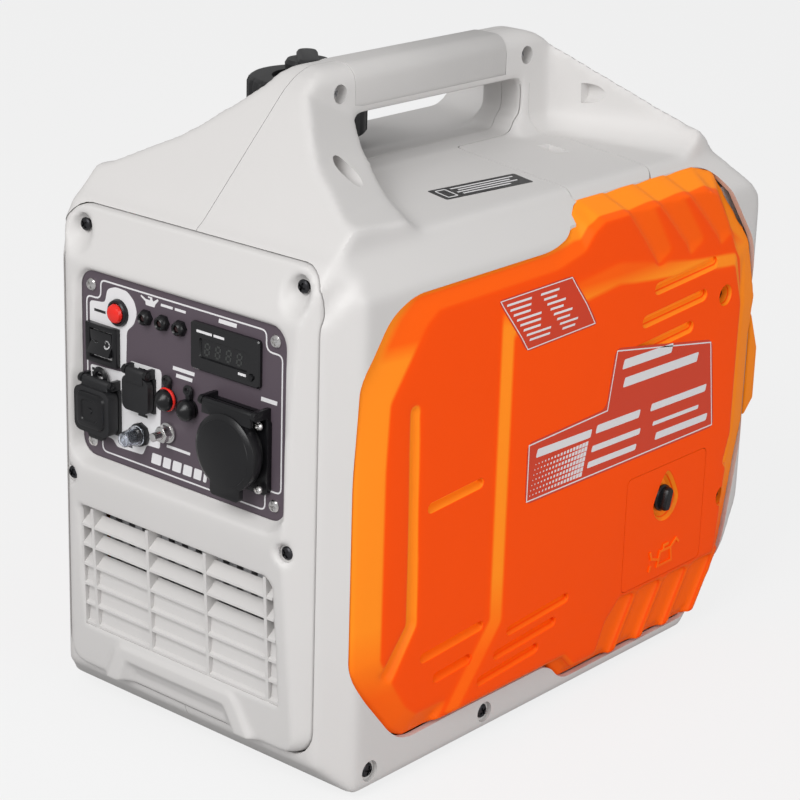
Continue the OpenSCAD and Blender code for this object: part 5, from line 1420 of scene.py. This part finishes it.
def make_panel():
    """The printed plate, its screws, and the items it carries."""
    softened("control_panel", 0.25, 1)
    panel_print()
    heads = []
    for x in (-85, 85):
        for z in (203.5, 314):
            heads.append(screw_head((x, z), FACE, "y", -1, 4.4))
    Part("panel_screw_heads", *heads).finish("chrome")
    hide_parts("panel_screws")
    # reset button in its collar
    x, z = middle("reset_button")
    y = low("reset_button").y - FACE
    Part("reset_button_finished", turned([(0, 8), (4.4, 8), (4.4, -2.8), (6.4, -2.8), (6.6, -3.6),
                (5.8, y + 1.4), (3.8, y + 0.3), (0, y)], "y", (x, FACE, z), 40)).finish("red",
        body="reset_push", replaces=("reset_button",), slot="red")
    Part("reset_collar", turned([(6.8, 0), (6.8, -3.0), (7.6, -3.4), (8.8, -2.6), (9.4, -0.2), (9.4, 0),
                (6.8, 0)], "y", (x, FACE, z), 44)).finish("black")
    # lamps: cones with a dark lens in the mouth
    cones, lenses = [], []
    for k in (-32, -16, 0):
        cones.append(turned([(2.6, 1), (2.6, -4.6), (3.4, -5.4), (4.2, -5.2), (5.0, -3.4), (5.6, -1.0),
                    (5.6, 0), (4.2, 1), (2.6, 1)], "y", (k, FACE, middle("indicator_lamps")[1]), 6))
        cones.append(turned([(2.4, -3.6), (2.4, -5.2), (3.2, -6.0), (4.4, -5.0), (5.0, -3.4), (4.2, -2.8),
                    (2.4, -3.6)], "y", (k, FACE, middle("indicator_lamps")[1]), 32))
        lenses.append(turned([(0, 0), (2.5, 0), (2.5, -3.4), (1.8, -4.3), (0, -4.7)], "y",
                (k, FACE, middle("indicator_lamps")[1]), 24))
    Part("indicator_lamps_finished", *cones).finish("black", replaces=("indicator_lamps",),
        slot="gloss_black")
    Part("lamp_lenses", *lenses).finish("lamp")
    # meter: glossy frame, sunk window, faint digits
    lo, hi = low("meter_display"), high("meter_display")
    meter = Part("meter_display_finished", loft("y",
            (rounded((lo.x, lo.z), (hi.x, hi.z), 2.4, 4), high("control_panel").y),
            (rounded((lo.x, lo.z), (hi.x, hi.z), 2.4, 4), lo.y + 0.8),
            (rounded((lo.x + 0.9, lo.z + 0.9), (hi.x - 0.9, hi.z - 0.9), 1.8, 4), lo.y)))
    window = (lo.x + 9, lo.z + 9.5), (hi.x - 11, hi.z - 10.5)
    meter.cut(loft("y", (rounded((window[0][0] - 1, window[0][1] - 1), (window[1][0] + 1, window[1][1] + 1),
                    1.6, 3), lo.y - 0.5), (rounded(*window, 1.2, 3), lo.y + 1.4)))
    mode = middle("meter_mode_button")
    meter.cut(rod(2.5, "y", lo.y - 2, 0, mode, 24))
    meter.finish("gloss", replaces=("meter_display",), slot="gloss_black")
    softened("meter_mode_button", 0.3)
    digits = [bm for k in range(4) for bm in (prism(line, "y", lo.y + 1.25, lo.y
                + 1.6) for line in digit((window[0][0] + 3.2 + k * 9.6, window[0][1] + 1.9), 7.6))]
    Part("meter_digits", *digits).finish("segment")
    marks = [plate((x0, z0), (x1, z0 + 1.7), "y", lo.y - 0.1, lo.y + 0.2, 0.3, 2) for x0, x1,
        z0 in ((lo.x + 6, lo.x + 20, hi.z - 6.4), (lo.x + 21.5, lo.x + 31, hi.z - 6.4),
            (mode[0] - 11.5, mode[0] - 4.5, mode[1] - 0.8))]
    Part("meter_marks", *marks).finish("white")
    # rocker with its marks, and bezel
    softened("engine_switch_bezel", 0.6, 2)
    softened("engine_switch_rocker", 0.5, 2, finish="gloss")
    rocker_marks()
    # charging port's flap: a pad with a raised rim and a loop
    for node, width in (("usb_flap", 1.2), ("usb_socket", 0.5), ("dc_flap", 0.9), ("dc_socket", 0.5),
        ("parallel_sockets", 0.4), ("dc_breaker", 0.6), ("dc_breaker_button", 0.3),
        ("ground_terminal", 0.35), ("ac_socket", 0.9)):
        softened(node, width, 2)
    x, z = middle("usb_flap")
    y = low("usb_flap").y
    pad = Part("usb_pad", loft("y", (rounded((-87.5, 217.5), (-60.5, 243.5), 5), y + 1.0),
            (rounded((-86.5, 218.5), (-61.5, 242.5), 4.5), y - 1.6),
            (rounded((-85, 220), (-63, 241), 3.5), y - 2.2)))
    pad.cut(loft("y", (rounded((-82.5, 222.5), (-65.5, 238.5), 3.5), y - 2.8),
            (rounded((-81.5, 223.5), (-66.5, 237.5), 3), y - 1.4)))
    pad.add(turned([(0, -1.0), (2.6, -1.0), (2.2, -2.0), (0, -2.0)], "y", (-74, y, 230.5), 24))
    pad.finish("black", body="charge_flap")
    loop = turned([(3.0, 0.0), (4.0, 1.3), (6.0, 1.3), (7.0, 0.0), (6.0, -1.3), (4.0, -1.3), (3.0, 0.0)],
        "y", (-74, FACE - 4.0, 252.5), 40)
    Part("usb_loop", loop).finish("black")
    # caps of the two parallel sockets: dished pads, the left one with a red ring
    for name, body, (x, z) in (("parallel_cap_red", "plug_cap_red", (-11, 252)),
        ("parallel_cap_black", "plug_cap_black", (9, 250))):
        y = low(name).y
        cap = Part(name + "_finished", turned([(0, y + 19.5 - FACE), (2.4, y + 19.5 - FACE), (2.4, -1.8),
                    (6.0, -2.0), (7.2, -3.4), (7.4, -6), (6.4, -8.0), (4.4, -9.6), (1.6, y - FACE + 0.2),
                    (0, y - FACE)], "y", (x, FACE, z), 40))
        cap.finish("black", body=body, replaces=(name,), slot="black")
        if body.endswith("red"):
            Part("red_ring", turned([(6.4, -1.9), (7.9, -2.1), (8.2, -3.4), (7.5, -4.4), (6.9, -3.8),
                        (6.4, -1.9)], "y", (x, FACE, z), 44)).finish("red", body=body)
        strap = [loft("y", (rounded((x - 2.2, z + 6), (x + 2.2, z + 13), 1.8, 3), FACE - 0.4),
                (rounded((x - 1.9, z + 6), (x + 1.9, z + 13), 1.6, 3), FACE - 3.4))]
        strap.append(turned([(1.6, -3.0), (2.2, -4.2), (3.4, -4.2), (4.0, -3.0), (3.4, -1.8), (2.2, -1.8),
                    (1.6, -3.0)], "y", (x, FACE, z + 13), 28))
        Part(body + "_strap", *strap).finish("soft_black")
    # clear boot over the breaker's button
    x, z = middle("breaker_boot")
    y = low("breaker_boot").y - FACE
    Part("breaker_boot_finished", turned([(6.9, -4.4), (6.9, -7.0), (5.9, -8.2), (5.6, -13.0),
                (5.0, y + 2.2), (3.2, y + 0.5), (0, y + 0.05), (0, y + 1.1), (2.8, y + 1.6), (4.2, y + 2.8),
                (4.7, -13.0), (4.9, -8.0), (5.7, -6.6), (5.7, -4.4), (6.9, -4.4)], "y", (x, FACE, z),
            40)).finish("clear", replaces=("breaker_boot",), slot="clear")
    Part("breaker_nut", turned([(8.4, 0), (8.4, -2.4), (7.8, -3.6), (6.9, -3.9), (6.9, 0), (8.4, 0)], "y",
            (x, FACE, z), 8)).finish("black")
    # mains socket: lid, chrome corner screws
    x, z = 56, 236
    lo, hi = low("ac_socket_lid"), high("ac_socket_lid")
    softened("ac_socket_lid", 1.0, 2)
    face = lo.y
    rim = turned([(17.0, 1.0), (17.6, -0.35), (20.5, -0.55), (22.4, -0.1), (22.8, 1.0), (17.0, 1.0)], "y",
        (x, face + 0.6, z), 56)
    Part("socket_lid_rim", rim).finish("black", body="outlet_lid")
    corners = [screw_head((x + sx * 21.5, z + sz * 21.5), low("ac_socket").y + 9.0, "y", -1,
            3.0) for sx in (-1, 1) for sz in (-1, 1)]
    Part("socket_screws", *corners).finish("chrome")


class GENERATOR_OT_panel(bpy.types.Operator):
    """Control panel with its print and fittings"""
    bl_idname = "generator.panel"
    bl_label = "Control panel"

    def execute(self, context):
        make_panel()
        return {"FINISHED"}


# ---------- fuel cap, grip, screws, feet and guard ----------

def fluted(radius, start, end, at, count=22, depth=1.7):
    """A round knob with flutes, standing along Z, with softened ends."""
    def ring(r, dip):
        return [(at[0] + (r - dip * max(0.0, math.cos(count * t)) ** 2) * math.cos(t), at[1]
                + (r - dip * max(0.0,
                        math.cos(count * t)) ** 2) * math.sin(t)) for t in (2 * math.pi * k / (count * 8) for k in range(count * 8))]
    return loft("z", (ring(radius - 1.6, 0), start), (ring(radius, depth), start + 1.8),
        (ring(radius, depth), end - 4.5), (ring(radius - 1.2, depth * 0.5), end - 1.8),
        (ring(radius - 3.6, 0), end - 0.2), (ring(radius - 5.5, 0), end))


def make_details():
    """Fuel cap and vent, handle sleeve, screws, feet, bolts and guard."""
    at = ((low("fuel_cap").x + high("fuel_cap").x) / 2, (low("fuel_cap").y + high("fuel_cap").y) / 2)
    top = high("fuel_cap").z
    cap = Part("fuel_cap_finished", fluted(high("fuel_cap").x - at[0], 392, top, at))
    cap.add(turned([(0, low("fuel_cap").z), (26.5, low("fuel_cap").z), (26.5, 388), (36, 388), (37, 393),
                (0, 393)], "z", (*at, 0), 64))
    cap.cut(turned([(0, top + 1), (25.5, top + 1), (24.5, top - 3.2), (0, top - 3.6)], "z", (*at, 0), 56),
        rod(6.0, "z", 415, 440, at, 32))
    cap.finish("dark", body="cap", replaces=("fuel_cap",), slot="black")
    lo, hi = low("vent_knob"), high("vent_knob")
    wings = [(at[0] + a, at[1] + b) for a, b in rounded((-24, -7.6), (24, 7.6), 7)]
    small = [(at[0] + (a - at[0]) * 0.93, at[1] + (b - at[1]) * 0.84) for a, b in wings]
    knob = Part("vent_knob_finished", turned([(0, lo.z), (5.7, lo.z), (5.7, top - 3.0), (15.5, top - 2.8),
                (16.2, hi.z - 6), (14.5, hi.z - 3.4), (0, hi.z - 3.0)], "z", (*at, 0), 56))
    body = loft("z", (wings, top - 2.4), (wings, hi.z - 2.2), (small, hi.z - 0.4),
        ([(at[0] + (a - at[0]) * 0.85, at[1] + (b - at[1]) * 0.66) for a, b in wings], hi.z))
    bmesh.ops.rotate(body, verts=body.verts[:], cent=(*at, 0),
        matrix=Matrix.Rotation(math.radians(-45), 3, "Z"))
    knob.add(body)
    knob.finish("dark", body="vent", replaces=("vent_knob",), slot="black")
    grip = Part("handle_grip_finished", sleeve())
    grip.round(0.5, 2, 60)
    grip.finish("grip", replaces=("handle_grip",), slot="grip")
    # screws in their pockets
    shell = [screw_head((y, z), 12.4, "x", 1, 3.9) for y, z, r in SCREWS_UP]
    Part("shell_screws_finished", *shell).finish("steel", replaces=("shell_screws",), slot="screw_bright")
    front = []
    for x, z in FUNNELS + LOW_SCREWS:
        front.append(screw_head((x, z), front_at(z) + 5.6 + 0.1, "y", -1, 4.6))
    Part("front_cover_screws_finished", *front).finish("dark_steel", replaces=("front_cover_screws",),
        slot="screw_dark")
    sides = [screw_head(spot, 133.8, "x", 1, 6.0) for spot in COVER_SCREWS]
    sides += [mirrored(screw_head(spot, 133.8, "x", 1, 6.0)) for spot in COVER_SCREWS]
    Part("side_cover_screws_finished", *sides).finish("dark_steel", replaces=("side_cover_screws",),
        slot="screw_dark")
    bolts = []
    for spot in RAIL_BOLTS:
        bolts.append(screw_head(spot, 133.7, "x", 1, 5.2))
        bolts.append(mirrored(screw_head(spot, 133.7, "x", 1, 5.2)))
    Part("base_bolts_finished", *bolts).finish("dark_steel", replaces=("base_bolts",), slot="screw_dark")
    softened("rubber_feet", 1.0, 2)
    softened("exhaust_guard", 1.2, 2)
    softened("base_tray", 0.6, 1)
    softened("recoil_grip", 2.0, 3)


def deck_label():
    """A small printed film on the deck: black, with a plain border and bars."""
    slope = DECK_TILT
    at = Vector((82, -42, 386 - 82 * 12 / 115))
    film = loft("z", (rounded((-9.5, -42), (9.5, 42), 1.5), -0.4),
        (rounded((-9.5, -42), (9.5, 42), 1.5), 0.14))
    marks = [plate((x - 0.7, y0), (x + 0.7, y1), "z", -0.1, 0.26) for x, y0,
        y1 in ((-5.4, -24, 36), (-2.0, -20, 30), (1.4, -24, 34), (4.8, -22, 24))]
    marks.append(outline_band(rounded((-7, -38), (7, -28), 1.5, 3), 1.0, "z", -0.1, 0.26))
    for name, shapes, finish in (("deck_label", [film], "ink"), ("deck_label_print", marks, "white")):
        piece = Part(name, *shapes)
        piece.object.data.transform(Matrix.Translation(at) @ Matrix.Rotation(slope, 4,
                "Y") @ Matrix.Rotation(math.radians(-5), 4, "Z"))
        piece.finish(finish)


class GENERATOR_OT_details(bpy.types.Operator):
    """Fuel cap, handle sleeve, screws, feet and guard"""
    bl_idname = "generator.details"
    bl_label = "Cap, grip and fixings"

    def execute(self, context):
        make_details()
        deck_label()
        return {"FINISHED"}


# ---------- running it all ----------

class GENERATOR_OT_solids(bpy.types.Operator):
    """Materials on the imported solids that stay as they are"""
    bl_idname = "generator.solids"
    bl_label = "Inner solids"

    def execute(self, context):
        for node, thing in frame["nodes"].items():
            thing.data.materials.clear()
            thing.data.materials.append(FINISHES.get(SLOT_FINISH[RECORD_SLOTS[node]], FINISHES["dark"]))
        return {"FINISHED"}


class GENERATOR_PT_panel(bpy.types.Panel):
    """Sizes, colours and build steps of the generator"""
    bl_label = "Portable Generator"
    bl_idname = "GENERATOR_PT_panel"
    bl_space_type = "VIEW_3D"
    bl_region_type = "UI"
    bl_category = "Generator"

    def draw(self, context):
        for group in (context.scene.generator_looks, context.scene.stage_looks):
            box = self.layout.box()
            for name in group.__annotations__:
                box.prop(group, name)
        for step in STEPS:
            self.layout.operator(step.bl_idname)


STEPS = (GENERATOR_OT_stage, GENERATOR_OT_solids, GENERATOR_OT_shells, GENERATOR_OT_covers,
    GENERATOR_OT_front, GENERATOR_OT_panel, GENERATOR_OT_details)
CLASSES = (GeneratorLooks, StageLooks) + STEPS + (GENERATOR_PT_panel,)


def register():
    for item in CLASSES:
        bpy.utils.register_class(item)
    bpy.types.Scene.generator_looks = bpy.props.PointerProperty(type=GeneratorLooks)
    bpy.types.Scene.stage_looks = bpy.props.PointerProperty(type=StageLooks)


def unregister():
    del bpy.types.Scene.stage_looks
    del bpy.types.Scene.generator_looks
    for item in reversed(CLASSES):
        bpy.utils.unregister_class(item)


def main():
    register()
    mix_finishes(bpy.context.scene.generator_looks)
    for step in STEPS:
        group, name = step.bl_idname.split(".")
        getattr(getattr(bpy.ops, group), name)()
    bpy.context.view_layer.update()


if __name__ == "__main__":
    main()
